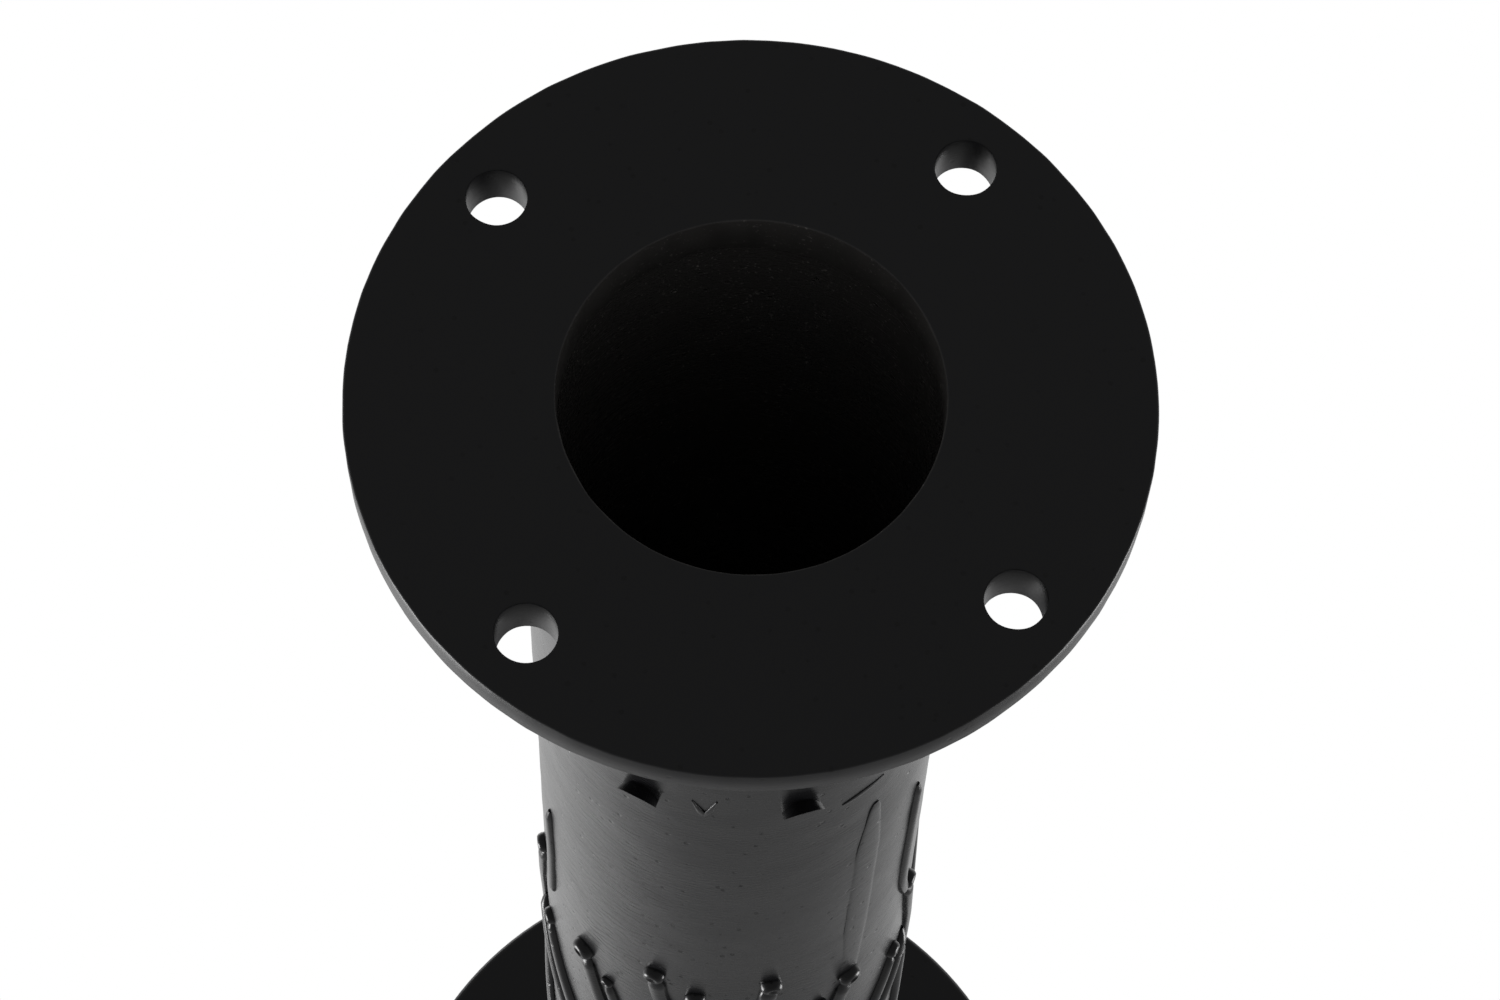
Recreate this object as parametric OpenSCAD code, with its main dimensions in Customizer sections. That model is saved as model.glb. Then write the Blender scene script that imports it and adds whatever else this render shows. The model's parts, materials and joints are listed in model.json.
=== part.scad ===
// Double-faced street clock on a cast post, bolted down through a round base flange.
// Frame: origin at the centre of the base flange's underside, +Z up, front dial towards -Y.

/* [Base flange] */
// Outer diameter of the base flange
flange_d = 240; // [200:1:300]
// Thickness of the base flange
flange_t = 18; // [12:1:24]
// Edge radius of the base flange
flange_edge = 2; // [1:0.5:4]
// Diameter of the cable bore through the base flange
bore_d = 115; // [60:1:118]
// Bolt circle of the four anchor holes
anchor_pcd = 200; // [184:1:212]
// Diameter of the anchor holes
anchor_hole_d = 18.5; // [12:0.5:22]

/* [Lower shaft] */
// Outer diameter of the lower shaft
shaft_d = 138; // [126:1:146]
// Wall of the lower shaft
shaft_wall = 7; // [4:0.5:9]
// Height of the lower shaft between its flanges
shaft_h = 830; // [760:5:1000]
// How far the relief stands proud of the shaft
relief_h = 5; // [4:0.5:7]
// Turn of the relief about the shaft, from the anchor holes
relief_turn = 10.3; // [0:0.1:45]

/* [Joint collar] */
// Diameter of the collar plate at the top of the lower shaft
collar_d = 300; // [280:1:340]
// Thickness of the collar plate
collar_t = 14; // [10:1:20]
// Bolt circle of the collar bolts
collar_pcd = 242; // [230:1:255]

/* [Upper column] */
// Height of the fluted column
column_h = 700; // [500:5:900]
// Diameter of the fluted column at its foot
column_d1 = 106; // [96:1:114]
// Diameter of the fluted column at its top
column_d2 = 84; // [78:1:94]
// Number of flutes
flutes = 12; // [8:1:16]
// Bore of the upper column
column_bore = 62; // [40:1:64]

/* [Clock head] */
// Outer radius of the clock case
case_r = 300; // [260:1:340]
// Half of the depth of the clock case, without its doors
case_half = 80; // [78:1:100]
// Wall of the clock case
case_wall = 4; // [2:0.5:6]
// Radius of the glass opening in each door
sight_r = 252; // [216:1:286]
// Thickness of each glass
glass_t = 4; // [3:0.5:6]
// Thickness of each dial plate
dial_t = 2.5; // [2:0.5:4]
// Length of the minute hands, from their axis
minute_len = 208; // [170:1:214]
// Length of the hour hands, from their axis
hour_len = 146; // [110:1:160]

/* [Movement] */
// Module of the drive gears
drive_m = 1.5; // [1.25:0.05:1.6]
// Module of the motion work gears
motion_m = 1.25; // [1:0.05:1.3]
// Radial clearance of each shaft in its bearing
run_gap = 0.05; // [0.03:0.01:0.1]

/* [Hidden] */
$fn = 96;

iron = "#1b1b1d";
steel = "#9a9ca0";
brass = "#b08d4a";
dial_white = "#f2f0e6";
rubber = "#161616";

// Heights, from the floor up
shaft_r = shaft_d / 2;
shaft_bore = shaft_d - 2 * shaft_wall;
collar_z = flange_t + shaft_h;
foot_z = collar_z + collar_t;
foot_gasket_t = 2;
foot_t = 14;
foot_d = collar_d - 24;
foot_rise = 96;
foot_bottom = foot_z + foot_gasket_t;
column_z = foot_bottom + foot_rise;
column_top = column_z + column_h;
spigot_h = 26;
spigot_d = column_bore;
capital_h = 104;
capital_top_d = 176;
saddle_z = column_top + capital_h;
saddle_plate_t = 14;
saddle_w = 230;
saddle_depth = 132;
saddle_rise = 34;
head_z = saddle_z + saddle_plate_t + saddle_rise + case_r;

// Doors
gasket_t = 2;
door_gap = 0.4;
door_y = case_half + gasket_t + door_gap;
door_t = 24;
door_r = case_r + 12;
glass_seat = 7;
seal_t = 2;
glass_y = door_y + 7;
hinge_r = 5;
hinge_pin_r = 3;
hinge_x = door_r + 9;
hinge_span = 96;
knuckle_h = 18;
latch_x = case_r - case_wall - 22;
knob_r = 11.5;
cam_r = 14;

// Dials and hands
dial_y = 56;
ledge_w = 22;
ledge_t = 4;
hour_hand_y = 65;
minute_hand_y = 71;
hand_t = 2;
minute_turn = 60;
hour_turn = 305;

// Movement
plate_gap = 48;
plate_t = 4;
plate_y = plate_gap / 2 + plate_t;
plate_w = 150;
plate_low = -108;
plate_high = 72;
pillar_r = 5;
pillar_x = plate_w / 2 - 11;
pillar_low = plate_low + 11;
pillar_high = plate_high - 11;
arbor_r = 4;
pivot_r = 3;
pipe_wall = 1.8;
strap_w = 20;
strap_t = 5;

wheel_teeth = 80;
pinion_teeth = 20;
cannon_teeth = 15;
minute_teeth = 45;
motion_teeth = 12;
hour_teeth = 48;
pressure = 25;
backlash = 0.22;

drive_dist = drive_m * (wheel_teeth + pinion_teeth) / 2;
pinion_dist = drive_m * pinion_teeth;
pinion_angle = -90 - asin(pinion_dist / 2 / drive_dist);
idler_angle = -90 + asin(pinion_dist / 2 / drive_dist);
motion_dist = motion_m * (cannon_teeth + minute_teeth) / 2;
motion_angle = 90;

// ---- Shared shapes ----

// Turns a shape drawn in XY so that it lies in XZ and its height runs from y0 - h to y0
module upright(y0) translate([0, y0, head_z]) rotate([90, 0, 0]) children();

// A disc or ring about the head's axis, between two depths
module head_disc(r, y_near, y_far) upright(y_far) cylinder(r = r, h = y_far - y_near);

// Copies a shape made for the front (-Y) to the rear, as a half turn about the post
module to_rear() rotate([0, 0, 180]) children();

// A round bead of diameter d on radius r at height z, filled to the middle
module bead(r, d, z) translate([0, 0, z]) {
    rotate_extrude() translate([r, 0]) circle(d = d, $fn = 32);
    cylinder(r = r, h = d, center = true);
}

module ring_of(count, r, turn = 0) for (i = [0 : count - 1]) rotate(turn + i * 360 / count)
    translate([r, 0, 0]) children();

module hex_bolt(d, grip, head_h) {
    cylinder(d = d, h = grip);
    translate([0, 0, grip]) cylinder(d = 2 * d, h = head_h, $fn = 6);
}

// ---- Gears ----

function inv_angle(rb, r) = let (a = acos(min(1, rb / r))) tan(a) * 180 / PI - a;

// One side of a tooth, from its root to its tip, as [radius, half angle]
function flank(teeth, m) =
    let (rp = m * teeth / 2, rb = rp * cos(pressure), tip = rp + 0.9 * m, root = rp - 1.2 * m,
         start = max(rb, root), half = 90 / teeth - backlash / (4 * rp) * 180 / PI)
    concat(root < rb ? [[root, half + inv_angle(rb, rp)]] : [],
        [for (i = [0 : 4]) let (r = start + (tip - start) * i / 4)
            [r, half + inv_angle(rb, rp) - inv_angle(rb, r)]]);

function gear_outline(teeth, m, phase) = let (side = flank(teeth, m), n = len(side))
    [for (k = [0 : teeth - 1]) let (a = phase + k * 360 / teeth)
        each concat(
            [for (i = [0 : n - 1]) side[i][0] * [cos(a - side[i][1]), sin(a - side[i][1])]],
            [for (i = [n - 1 : -1 : 0]) side[i][0] * [cos(a + side[i][1]), sin(a + side[i][1])]])];

// The phase that puts a gear in mesh with another whose centre lies at angle from the other
function mesh_phase(phase, teeth, teeth_2, angle) =
    angle + 180 + (angle - phase) * teeth / teeth_2 + 180 / teeth_2;

// A gear about a centre at distance and angle from the head's axis, from y0 - h to y0
module gear(teeth, m, phase, y0, h, bore, dist = 0, angle = 0)
    upright(y0) translate(dist * [cos(angle), sin(angle), 0]) difference() {
        linear_extrude(h) polygon(gear_outline(teeth, m, phase));
        if (bore > 0) translate([0, 0, -1]) cylinder(r = bore, h = h + 2, $fn = 48);
    }

// A round shaft parallel to the head's axis, between two depths
module shaft(r, y_near, y_far, dist = 0, angle = 0)
    upright(y_far) translate(dist * [cos(angle), sin(angle), 0])
        cylinder(r = r, h = y_far - y_near, $fn = 48);

pinion_phase = mesh_phase(0, wheel_teeth, pinion_teeth, pinion_angle);
pinion_to_idler = 0;
idler_phase = mesh_phase(pinion_phase, pinion_teeth, pinion_teeth, pinion_to_idler);
rear_wheel_phase = mesh_phase(idler_phase, pinion_teeth, wheel_teeth, idler_angle + 180);
motion_phase = mesh_phase(0, cannon_teeth, minute_teeth, motion_angle);
hour_phase = mesh_phase(0, motion_teeth, hour_teeth, motion_angle + 180);

// ---- Base and lower shaft ----

module base_flange() color(iron) difference() {
    union() {
        translate([0, 0, flange_edge]) cylinder(d = flange_d, h = flange_t - 2 * flange_edge);
        cylinder(d = flange_d - 2 * flange_edge, h = flange_t);
        for (z = [flange_edge, flange_t - flange_edge]) translate([0, 0, z])
            rotate_extrude() translate([flange_d / 2 - flange_edge, 0])
                circle(r = flange_edge, $fn = 32);
    }
    translate([0, 0, -1]) cylinder(d = bore_d, h = flange_t + 2);
    ring_of(4, anchor_pcd / 2, 45)
        translate([0, 0, -1]) cylinder(d = anchor_hole_d, h = flange_t + 2, $fn = 48);
}

// Fillet weld around the foot of the shaft
weld = 6;
module base_weld() color(iron) translate([0, 0, flange_t]) rotate_extrude()
    translate([shaft_r, 0]) polygon([[0, 0], [weld, 0], [weld * 0.55, weld * 0.45], [0, weld]]);

module lower_shaft() color(iron) translate([0, 0, flange_t]) difference() {
    cylinder(d = shaft_d, h = shaft_h);
    translate([0, 0, -1]) cylinder(d = shaft_bore, h = shaft_h + 2);
}

// A point on the shaft's surface at an angle and a height
function on_shaft(a, z) = [shaft_r * cos(a), shaft_r * sin(a), z];

// A scroll's centreline as [angle, height, half width]: a stem that runs into a curl
function scroll(a0, z0, a1, z1, curl, turns, w) = let (side = sign(a1 - a0), k = side * 57.3 / shaft_r)
    concat(
        [for (i = [0 : 3]) let (t = i / 3) [a0 + (a1 - a0) * t * t, z0 + (z1 - z0) * t, w]],
        [for (i = [1 : 7]) let (t = i / 7, r = curl * (1 - 0.7 * t), q = t * turns * 360)
            [a1 + (curl - r * cos(q)) * k, z1 + r * sin(q), w * (1 - 0.35 * t)]]);

module rib(points) for (i = [0 : len(points) - 2]) hull() for (k = [i, i + 1])
    translate(on_shaft(points[k][0], points[k][1])) sphere(r = points[k][2], $fn = 6);

module knob(a, z, r) translate(on_shaft(a, z)) sphere(r = r, $fn = 12);

// A pointed leaf tip that stands off the shaft and looks down
module boss() translate([shaft_r, 0, boss_z]) rotate([90, 0, 90])
    linear_extrude(relief_h + 1) polygon([[0, -10], [9, 0], [5, 12], [-5, 12], [-9, 0]]);

// One of the four faces of the relief; the front and rear ones have bosses at their foot
boss_z = 169;
module relief_face(bosses) {
    for (side = [-1, 1]) {
        if (bosses) rotate(side * 22.5) translate([-1, 0, 0]) boss();
        knob(side * 18, 355, relief_h + 1);
        rib([[side * 3, 400, 5], [side * 10, 384, 4.5], [side * 17, 362, 4]]);
        rib(scroll(side * 8, 400, side * 27, 470, 14, 1, relief_h));
        rib(scroll(side * 3, 560, side * 26, 650, 16, 1, relief_h));
    }
    rib([[0, 392, 6], [0, 480, 4], [0, 560, 6], [0, 700, 4], [0, 790, 3]]);
    rotate(45) {
        rib([[0, 222, 3], [0, 300, relief_h], [0, 376, relief_h]]);
        knob(0, 384, relief_h + 1.5);
    }
}

module shaft_relief() color(iron) difference() {
    for (i = [0 : 3]) rotate(relief_turn + 90 * i) relief_face(i % 2 == 1);
    cylinder(r = shaft_r / cos(180 / $fn), h = collar_z);
}

module collar_plate() color(iron) translate([0, 0, collar_z]) difference() {
    union() {
        translate([0, 0, 2]) cylinder(d = collar_d, h = collar_t - 2);
        cylinder(d1 = collar_d - 4, d2 = collar_d, h = 2);
    }
    translate([0, 0, -1]) cylinder(d = shaft_bore - 24, h = collar_t + 2);
    ring_of(4, collar_pcd / 2) translate([0, 0, -1]) cylinder(d = 14, h = collar_t + 2, $fn = 48);
}

// ---- Upper column ----

foot_core_d = column_d1 + 8;

module foot_gasket() color(rubber) translate([0, 0, foot_z]) difference() {
    cylinder(d = foot_d - 4, h = foot_gasket_t);
    translate([0, 0, -1]) cylinder(d = shaft_bore - 24, h = foot_gasket_t + 2);
    ring_of(4, collar_pcd / 2)
        translate([0, 0, -1]) cylinder(d = 14, h = foot_gasket_t + 2, $fn = 48);
}

module column_foot() color(iron) translate([0, 0, foot_bottom]) difference() {
    union() {
        cylinder(d = foot_d, h = foot_t);
        bead(foot_core_d / 2 + 30, 26, foot_t + 13);
        cylinder(d = foot_core_d + 40, h = foot_t + 36);
        translate([0, 0, foot_t + 36]) cylinder(d1 = foot_core_d + 40, d2 = foot_core_d, h = 22);
        bead(foot_core_d / 2, 16, foot_t + 66);
        cylinder(d = foot_core_d, h = foot_rise);
    }
    translate([0, 0, -1]) cylinder(d = column_bore, h = foot_rise + 2);
    ring_of(4, collar_pcd / 2) translate([0, 0, -1]) cylinder(d = 14, h = foot_t + 2, $fn = 48);
}

bolt_grip = collar_t + foot_gasket_t + foot_t;
nut_h = 10;
module collar_bolts() color(steel) ring_of(4, collar_pcd / 2)
    translate([0, 0, collar_z - nut_h - 5]) hex_bolt(12, bolt_grip + nut_h + 5, 8);

module collar_nuts() color(steel) ring_of(4, collar_pcd / 2)
    translate([0, 0, collar_z - nut_h]) difference() {
        cylinder(d = 22, h = nut_h, $fn = 6);
        translate([0, 0, -1]) cylinder(d = 12, h = nut_h + 2, $fn = 48);
    }

module fluted_column() color(iron) {
    lean = atan((column_d1 - column_d2) / 2 / column_h);
    translate([0, 0, column_z]) difference() {
        cylinder(d1 = column_d1, d2 = column_d2, h = column_h);
        translate([0, 0, -1]) cylinder(d = column_bore, h = column_h + 2);
        for (i = [0 : flutes - 1]) rotate(i * 360 / flutes)
            translate([column_d1 / 2 + 3, 0, 40]) rotate([0, -lean, 0]) {
                cylinder(r = 7, h = column_h - 110, $fn = 32);
                sphere(r = 7, $fn = 32);
                translate([0, 0, column_h - 110]) sphere(r = 7, $fn = 32);
            }
    }
}

// Ring around the neck of the column
module column_astragal() color(iron) translate([0, 0, column_top - 46]) difference() {
    union() {
        bead(column_d2 / 2 + 4, 14, 7);
        bead(column_d2 / 2 + 3, 8, 18);
    }
    translate([0, 0, -12]) cylinder(
        d1 = column_at(column_top - 58) + 0.2, d2 = column_at(column_top - 12) + 0.2, h = 46);
}

// Diameter of the tapered column at a height
function column_at(z) = column_d1 + (column_d2 - column_d1) * (z - column_z) / column_h;

module capital() color(iron) translate([0, 0, column_top]) difference() {
    union() {
        cylinder(d = column_d2 + 10, h = 12);
        bead(column_d2 / 2 + 4, 12, 10);
        translate([0, 0, 16]) cylinder(d1 = column_d2 + 2, d2 = column_d2 + 24, h = 44);
        translate([0, 0, 60]) cylinder(d1 = column_d2 + 24, d2 = capital_top_d - 30, h = 22);
        bead(capital_top_d / 2 - 14, 12, 86);
        translate([0, 0, 90]) cylinder(d = capital_top_d, h = capital_h - 90);
    }
    translate([0, 0, -1]) cylinder(d = column_bore, h = capital_h + 2);
}

// ---- Head support ----

saddle_bolt_x = 84;
saddle_bolt_y = 40;
module each_saddle_bolt() for (x = [-1, 1], y = [-1, 1])
    translate([x * saddle_bolt_x, y * saddle_bolt_y, 0]) children();

module case_cylinder(r, half) upright(half) cylinder(r = r, h = 2 * half, $fn = 180);

module saddle() color(iron) difference() {
    union() {
        translate([0, 0, saddle_z]) cylinder(d = capital_top_d - 8, h = saddle_plate_t);
        translate([-saddle_w / 2, -saddle_depth / 2, saddle_z + saddle_plate_t])
            cube([saddle_w, saddle_depth, saddle_rise + 26]);
        translate([0, 0, saddle_z - spigot_h]) cylinder(d = spigot_d, h = spigot_h + 1);
    }
    case_cylinder(case_r, saddle_depth);
    translate([0, 0, saddle_z - spigot_h - 1]) cylinder(d = 32, h = 200);
    each_saddle_bolt() translate([0, 0, saddle_z + saddle_plate_t + 12]) cylinder(d = 8, h = 60);
}

saddle_bolt_z = head_z - sqrt(pow(case_r - case_wall, 2) - pow(saddle_bolt_x + 8, 2));
module saddle_bolts() color(steel) each_saddle_bolt() {
    translate([0, 0, saddle_z + saddle_plate_t + 12])
        cylinder(d = 8, h = saddle_bolt_z - saddle_z - saddle_plate_t - 12);
    translate([0, 0, saddle_bolt_z]) cylinder(d = 16, h = 6, $fn = 6);
}

// A flat iron scroll from the saddle's end up to the case
scroll_w = 30;
scroll_t = 10;
scroll_r = 64;
module scroll_bar(r, from, sweep) rotate([90, 0, 0]) rotate(from)
    rotate_extrude(angle = sweep) translate([r - scroll_t / 2, -scroll_w / 2])
        square([scroll_t, scroll_w]);

module right_scroll() color(iron) difference() {
    translate([saddle_w / 2 + scroll_r - scroll_t, 0, saddle_z + saddle_plate_t + 30]) {
        scroll_bar(scroll_r, -180, 250);
        rotate([90, 0, 0]) rotate(70)
            translate([scroll_r - 30, 0, 0]) cylinder(r = 27, h = scroll_w, center = true, $fn = 48);
    }
    case_cylinder(case_r, 2 * scroll_w);
    translate([-saddle_w / 2, -saddle_depth / 2, saddle_z]) cube([saddle_w, saddle_depth, 120]);
}

module left_scroll() mirror([1, 0, 0]) right_scroll();

// ---- Case ----

module keeper() for (s = [-1, 1]) translate([latch_x - 16, -case_half, head_z + s * 15 - 5])
    cube([sqrt(pow(case_r - case_wall, 2) - 400) - latch_x + 16 + 3, 4, 10]);

module case_knuckles() for (s = [-1, 1])
    translate([-hinge_x, -case_half - 1, head_z + s * hinge_span - knuckle_h / 2]) {
        difference() {
            union() {
                cylinder(r = hinge_r, h = knuckle_h, $fn = 48);
                cube([hinge_x - case_r + 32, 5, knuckle_h]);
            }
            translate([0, 0, -1]) cylinder(r = hinge_pin_r, h = knuckle_h + 2, $fn = 48);
        }
    }

module half_case() {
    head_disc_ring(case_r - case_wall - ledge_w, case_r - case_wall + 1, -dial_y, -dial_y + ledge_t);
    intersection() {
        keeper();
        case_cylinder(case_r - 1, 2 * case_half);
    }
    difference() {
        case_knuckles();
        case_cylinder(case_r - 1, 2 * case_half);
        head_disc(case_r + 0.3, -2 * case_half, -case_half);
    }
}

// A ring about the head's axis, between two radii and two depths
module head_disc_ring(r1, r2, y_near, y_far) difference() {
    head_disc(r2, y_near, y_far);
    head_disc(r1, y_near - 1, y_far + 1);
}

module case_drum() color(iron) difference() {
    union() {
        head_disc_ring(case_r - case_wall, case_r, -case_half, case_half);
        half_case();
        to_rear() half_case();
    }
    translate([0, 0, saddle_z]) cylinder(d = 26, h = 120, $fn = 48);
    translate([0, 0, head_z]) cylinder(d = 12, h = 2 * case_r, $fn = 48);
    each_saddle_bolt() translate([0, 0, saddle_z]) cylinder(d = 8, h = 120, $fn = 48);
}

module case_gaskets() color(rubber) for (y = [-case_half - gasket_t, case_half])
    head_disc_ring(case_r - case_wall, case_r, y, y + gasket_t);

module finial_base() color(iron) difference() {
    union() {
        translate([0, 0, head_z + case_r - 12]) cylinder(d = 120, h = 22);
        bead(46, 18, head_z + case_r + 18);
        translate([0, 0, head_z + case_r + 20]) cylinder(d1 = 92, d2 = 44, h = 26);
    }
    case_cylinder(case_r, 2 * case_half);
    translate([0, 0, head_z]) cylinder(d = 12, h = case_r + 60, $fn = 48);
}

finial_z = head_z + case_r + 46;
module finial() color(iron) {
    translate([0, 0, finial_z]) {
        cylinder(d = 40, h = 8);
        bead(14, 12, 14);
        cylinder(d = 18, h = 34);
        translate([0, 0, 56]) sphere(d = 64);
        bead(10, 10, 92);
        translate([0, 0, 84]) cylinder(d = 14, h = 16);
        translate([0, 0, 96]) cylinder(d1 = 20, d2 = 3, h = 84);
        translate([0, 0, 180]) sphere(d = 12, $fn = 48);
    }
    translate([0, 0, head_z + case_r - 26]) cylinder(d = 12, h = 74, $fn = 48);
    translate([0, 0, head_z + case_r - case_wall - 8.4]) cylinder(d = 22, h = 8, $fn = 6);
}

// ---- Inside the case ----

case_floor = head_z - case_r + case_wall;
module cable_gland() color(rubber) difference() {
    union() {
        translate([0, 0, case_floor - case_wall - 12]) cylinder(d = 26, h = 24, $fn = 48);
        translate([0, 0, case_floor + 2]) cylinder(d = 36, h = 10, $fn = 6);
    }
    translate([0, 0, case_floor - 30]) cylinder(d = 14, h = 60, $fn = 48);
}

lamp_w = 20;
module lamp_ring() color(steel) difference() {
    head_disc_ring(case_r - case_wall - 5, case_r - case_wall, -lamp_w / 2, lamp_w / 2);
    translate([-50, -lamp_w, head_z + case_r - 60]) cube([100, 2 * lamp_w, 80]);
    translate([-170, -lamp_w, head_z - case_r - 10]) cube([340, 2 * lamp_w, 70]);
}

module in_case() intersection() {
    children();
    case_cylinder(case_r - case_wall, case_half);
}

// Two upright bars behind the movement, with feet against the inside of the case
module movement_strap() color(steel) difference() {
    in_case() for (s = [-1, 1]) translate([s * pillar_x - strap_w / 2, plate_y, head_z]) {
        translate([0, 0, -case_r]) cube([strap_w, strap_t, 2 * case_r]);
        for (q = [-1, 1]) translate([0, 0, q * (case_r - 20) - 12]) cube([strap_w, 20, 24]);
    }
    upright(plate_y + 3) each_pillar() cylinder(r = pillar_r - 1.5, h = 40, $fn = 48);
}

module power_supply() color(steel) in_case()
    translate([88, -22, head_z - case_r]) cube([70, 44, 85]);

module terminal_block() color(dial_white) difference() {
    in_case() translate([-140, -12, head_z - case_r]) cube([60, 24, 62]);
    for (i = [0 : 4]) translate([-133 + 11.5 * i, 0, head_z - case_r + 48])
        cylinder(d = 6, h = 20, $fn = 24);
}

// ---- Movement ----

module each_pillar() for (x = [-1, 1], z = [pillar_low, pillar_high])
    translate([x * pillar_x, z, 0]) children();

// A movement plate from y0 - plate_t to y0, with holes for the pillars and for what is given
module plate(y0) upright(y0) difference() {
    translate([-plate_w / 2, plate_low, 0]) cube([plate_w, plate_high - plate_low, plate_t]);
    each_pillar() translate([0, 0, -1]) cylinder(r = pillar_r - 1.5, h = plate_t + 2, $fn = 48);
    children();
}

module plate_hole(r, dist = 0, angle = 0)
    translate(dist * [cos(angle), sin(angle), 0]) translate([0, 0, -1])
        cylinder(r = r, h = plate_t + 2, $fn = 48);

module front_plate() color(brass) plate(-plate_y + plate_t) {
    plate_hole(arbor_r + run_gap);
    plate_hole(pivot_r + run_gap, drive_dist, pinion_angle);
    plate_hole(pivot_r + run_gap, drive_dist, idler_angle);
    plate_hole(pivot_r, motion_dist, motion_angle);
}

module rear_plate() color(brass) plate(plate_y) {
    plate_hole(arbor_r + run_gap);
    plate_hole(pivot_r + run_gap, drive_dist, pinion_angle);
    plate_hole(pivot_r + run_gap, drive_dist, idler_angle);
    plate_hole(pivot_r, motion_dist, motion_angle);
}

module centre_plate() color(brass) upright(plate_t / 2) difference() {
    translate([-plate_w / 2, plate_low, 0]) cube([plate_w, plate_high - plate_low, plate_t]);
    each_pillar() translate([0, 0, -1]) cylinder(r = pillar_r, h = plate_t + 2, $fn = 48);
    plate_hole(pivot_r + run_gap);
    for (a = [pinion_angle, idler_angle]) plate_hole(19, drive_dist, a);
}

// Shouldered pillars between the plates, and the motion work's studs
module plate_pillars() color(steel) {
    upright(plate_gap / 2) each_pillar() cylinder(r = pillar_r, h = plate_gap, $fn = 48);
    upright(plate_y + 3) each_pillar()
        cylinder(r = pillar_r - 1.5, h = 2 * plate_y + 6, $fn = 48);
    for (s = [0, 180]) rotate(s)
        shaft(pivot_r, -50, -plate_y + plate_t, motion_dist, motion_angle);
}

motor_r = 30;
motor_h = 26;
module drive_motor() color(steel) difference() {
    union() {
        upright(plate_y + motor_h) translate(drive_dist * [cos(pinion_angle), sin(pinion_angle), 0])
            cylinder(r = motor_r, h = motor_h);
        upright(plate_y + 2.5) translate(drive_dist * [cos(pinion_angle), sin(pinion_angle), 0])
            translate([-motor_r - 7, -8, 0]) cube([2 * motor_r + 14, 16, 2.5]);
    }
    shaft(pivot_r + run_gap, plate_y - 1, plate_y + 14, drive_dist, pinion_angle);
}

module drive_pinion() color(brass) {
    gear(pinion_teeth, drive_m, pinion_phase, -4, 15, 0, drive_dist, pinion_angle);
    shaft(pivot_r, -plate_y, plate_y + 12, drive_dist, pinion_angle);
}

module idler_pinion() color(brass) {
    gear(pinion_teeth, drive_m, idler_phase, 18, 26, 0, drive_dist, idler_angle);
    shaft(pivot_r, -plate_y, plate_y, drive_dist, idler_angle);
}

wheel_h = 6;
cannon_h = 8;

// Arbor with its drive wheel and cannon pinion; wheel_phase sets the wheel's teeth
module minute_arbor(wheel_phase) {
    gear(wheel_teeth, drive_m, wheel_phase, -11, wheel_h, 0);
    shaft(arbor_r, -minute_hand_y - 5, -6);
    shaft(pivot_r, -6, -0.5);
    gear(cannon_teeth, motion_m, 0, -plate_y - 2, cannon_h, 0);
}

module front_minute_arbor() color(brass) minute_arbor(0);
module rear_minute_arbor() color(brass) to_rear() minute_arbor(180 - rear_wheel_phase);

module motion_wheel() difference() {
    union() {
        gear(minute_teeth, motion_m, motion_phase, -plate_y - 3, 5, 0, motion_dist, motion_angle);
        gear(motion_teeth, motion_m, 0, -plate_y - 8, 10, 0, motion_dist, motion_angle);
    }
    shaft(pivot_r + run_gap, -60, -plate_y, motion_dist, motion_angle);
}
module front_motion_wheel() color(brass) motion_wheel();
module rear_motion_wheel() color(brass) to_rear() motion_wheel();

pipe_r = arbor_r + run_gap;
module hour_wheel() difference() {
    union() {
        gear(hour_teeth, motion_m, hour_phase, -plate_y - 11.5, 5, 0);
        shaft(pipe_r + pipe_wall, -hour_hand_y - 3, -plate_y - 11);
    }
    shaft(pipe_r, -hour_hand_y - 5, -plate_y - 9);
}
module front_hour_wheel() color(brass) hour_wheel();
module rear_hour_wheel() color(brass) to_rear() hour_wheel();

// ---- Dials and hands ----

module dial() difference() {
    head_disc(case_r - case_wall - 2, -dial_y - dial_t, -dial_y);
    head_disc(11, -dial_y - 10, -dial_y + 10);
    dial_screw_places() upright(-dial_y + 1)
        cylinder(d = 5, h = dial_t + 2, $fn = 24);
}

module dial_screw_places() for (i = [0 : 5]) translate([0, 0, head_z]) rotate([0, 30 + 60 * i, 0])
    translate([case_r - case_wall - 12, 0, -head_z]) children();

module front_dial() color(dial_white) dial();
module rear_dial() color(dial_white) to_rear() dial();

module dial_screws() color(steel) for (s = [0, 180]) rotate(s) dial_screw_places() {
    upright(-dial_y) cylinder(d = 5, h = dial_t, $fn = 24);
    upright(-dial_y - dial_t) cylinder(d = 9, h = 2, $fn = 24);
}

// A spade hand that points up, with a round boss and a counterweight
module hand_outline(len, w, boss_r, tail) difference() {
    union() {
        circle(r = boss_r, $fn = 48);
        polygon([[-w, 0], [w, 0], [w * 0.7, len * 0.68 - w], [-w * 0.7, len * 0.68 - w]]);
        polygon([[-w * 2.3, len * 0.72], [0, len * 0.58], [w * 2.3, len * 0.72], [w * 0.5, len * 0.9],
            [0, len], [-w * 0.5, len * 0.9]]);
        for (s = [-1, 1]) translate([s * w * 1.15, len * 0.715]) circle(r = w * 1.25, $fn = 32);
        polygon([[w * 0.8, 1], [-w * 0.8, 1], [-w * 0.9, -tail], [w * 0.9, -tail]]);
        translate([0, -tail]) circle(r = w * 2, $fn = 48);
    }
    translate([0, len * 0.71]) circle(r = w * 0.9, $fn = 32);
}

module hand(len, w, boss_r, tail, bore, y, turn) upright(-y) rotate(-turn)
    linear_extrude(hand_t) difference() {
        hand_outline(len, w, boss_r, tail);
        circle(r = bore, $fn = 48);
    }

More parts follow.
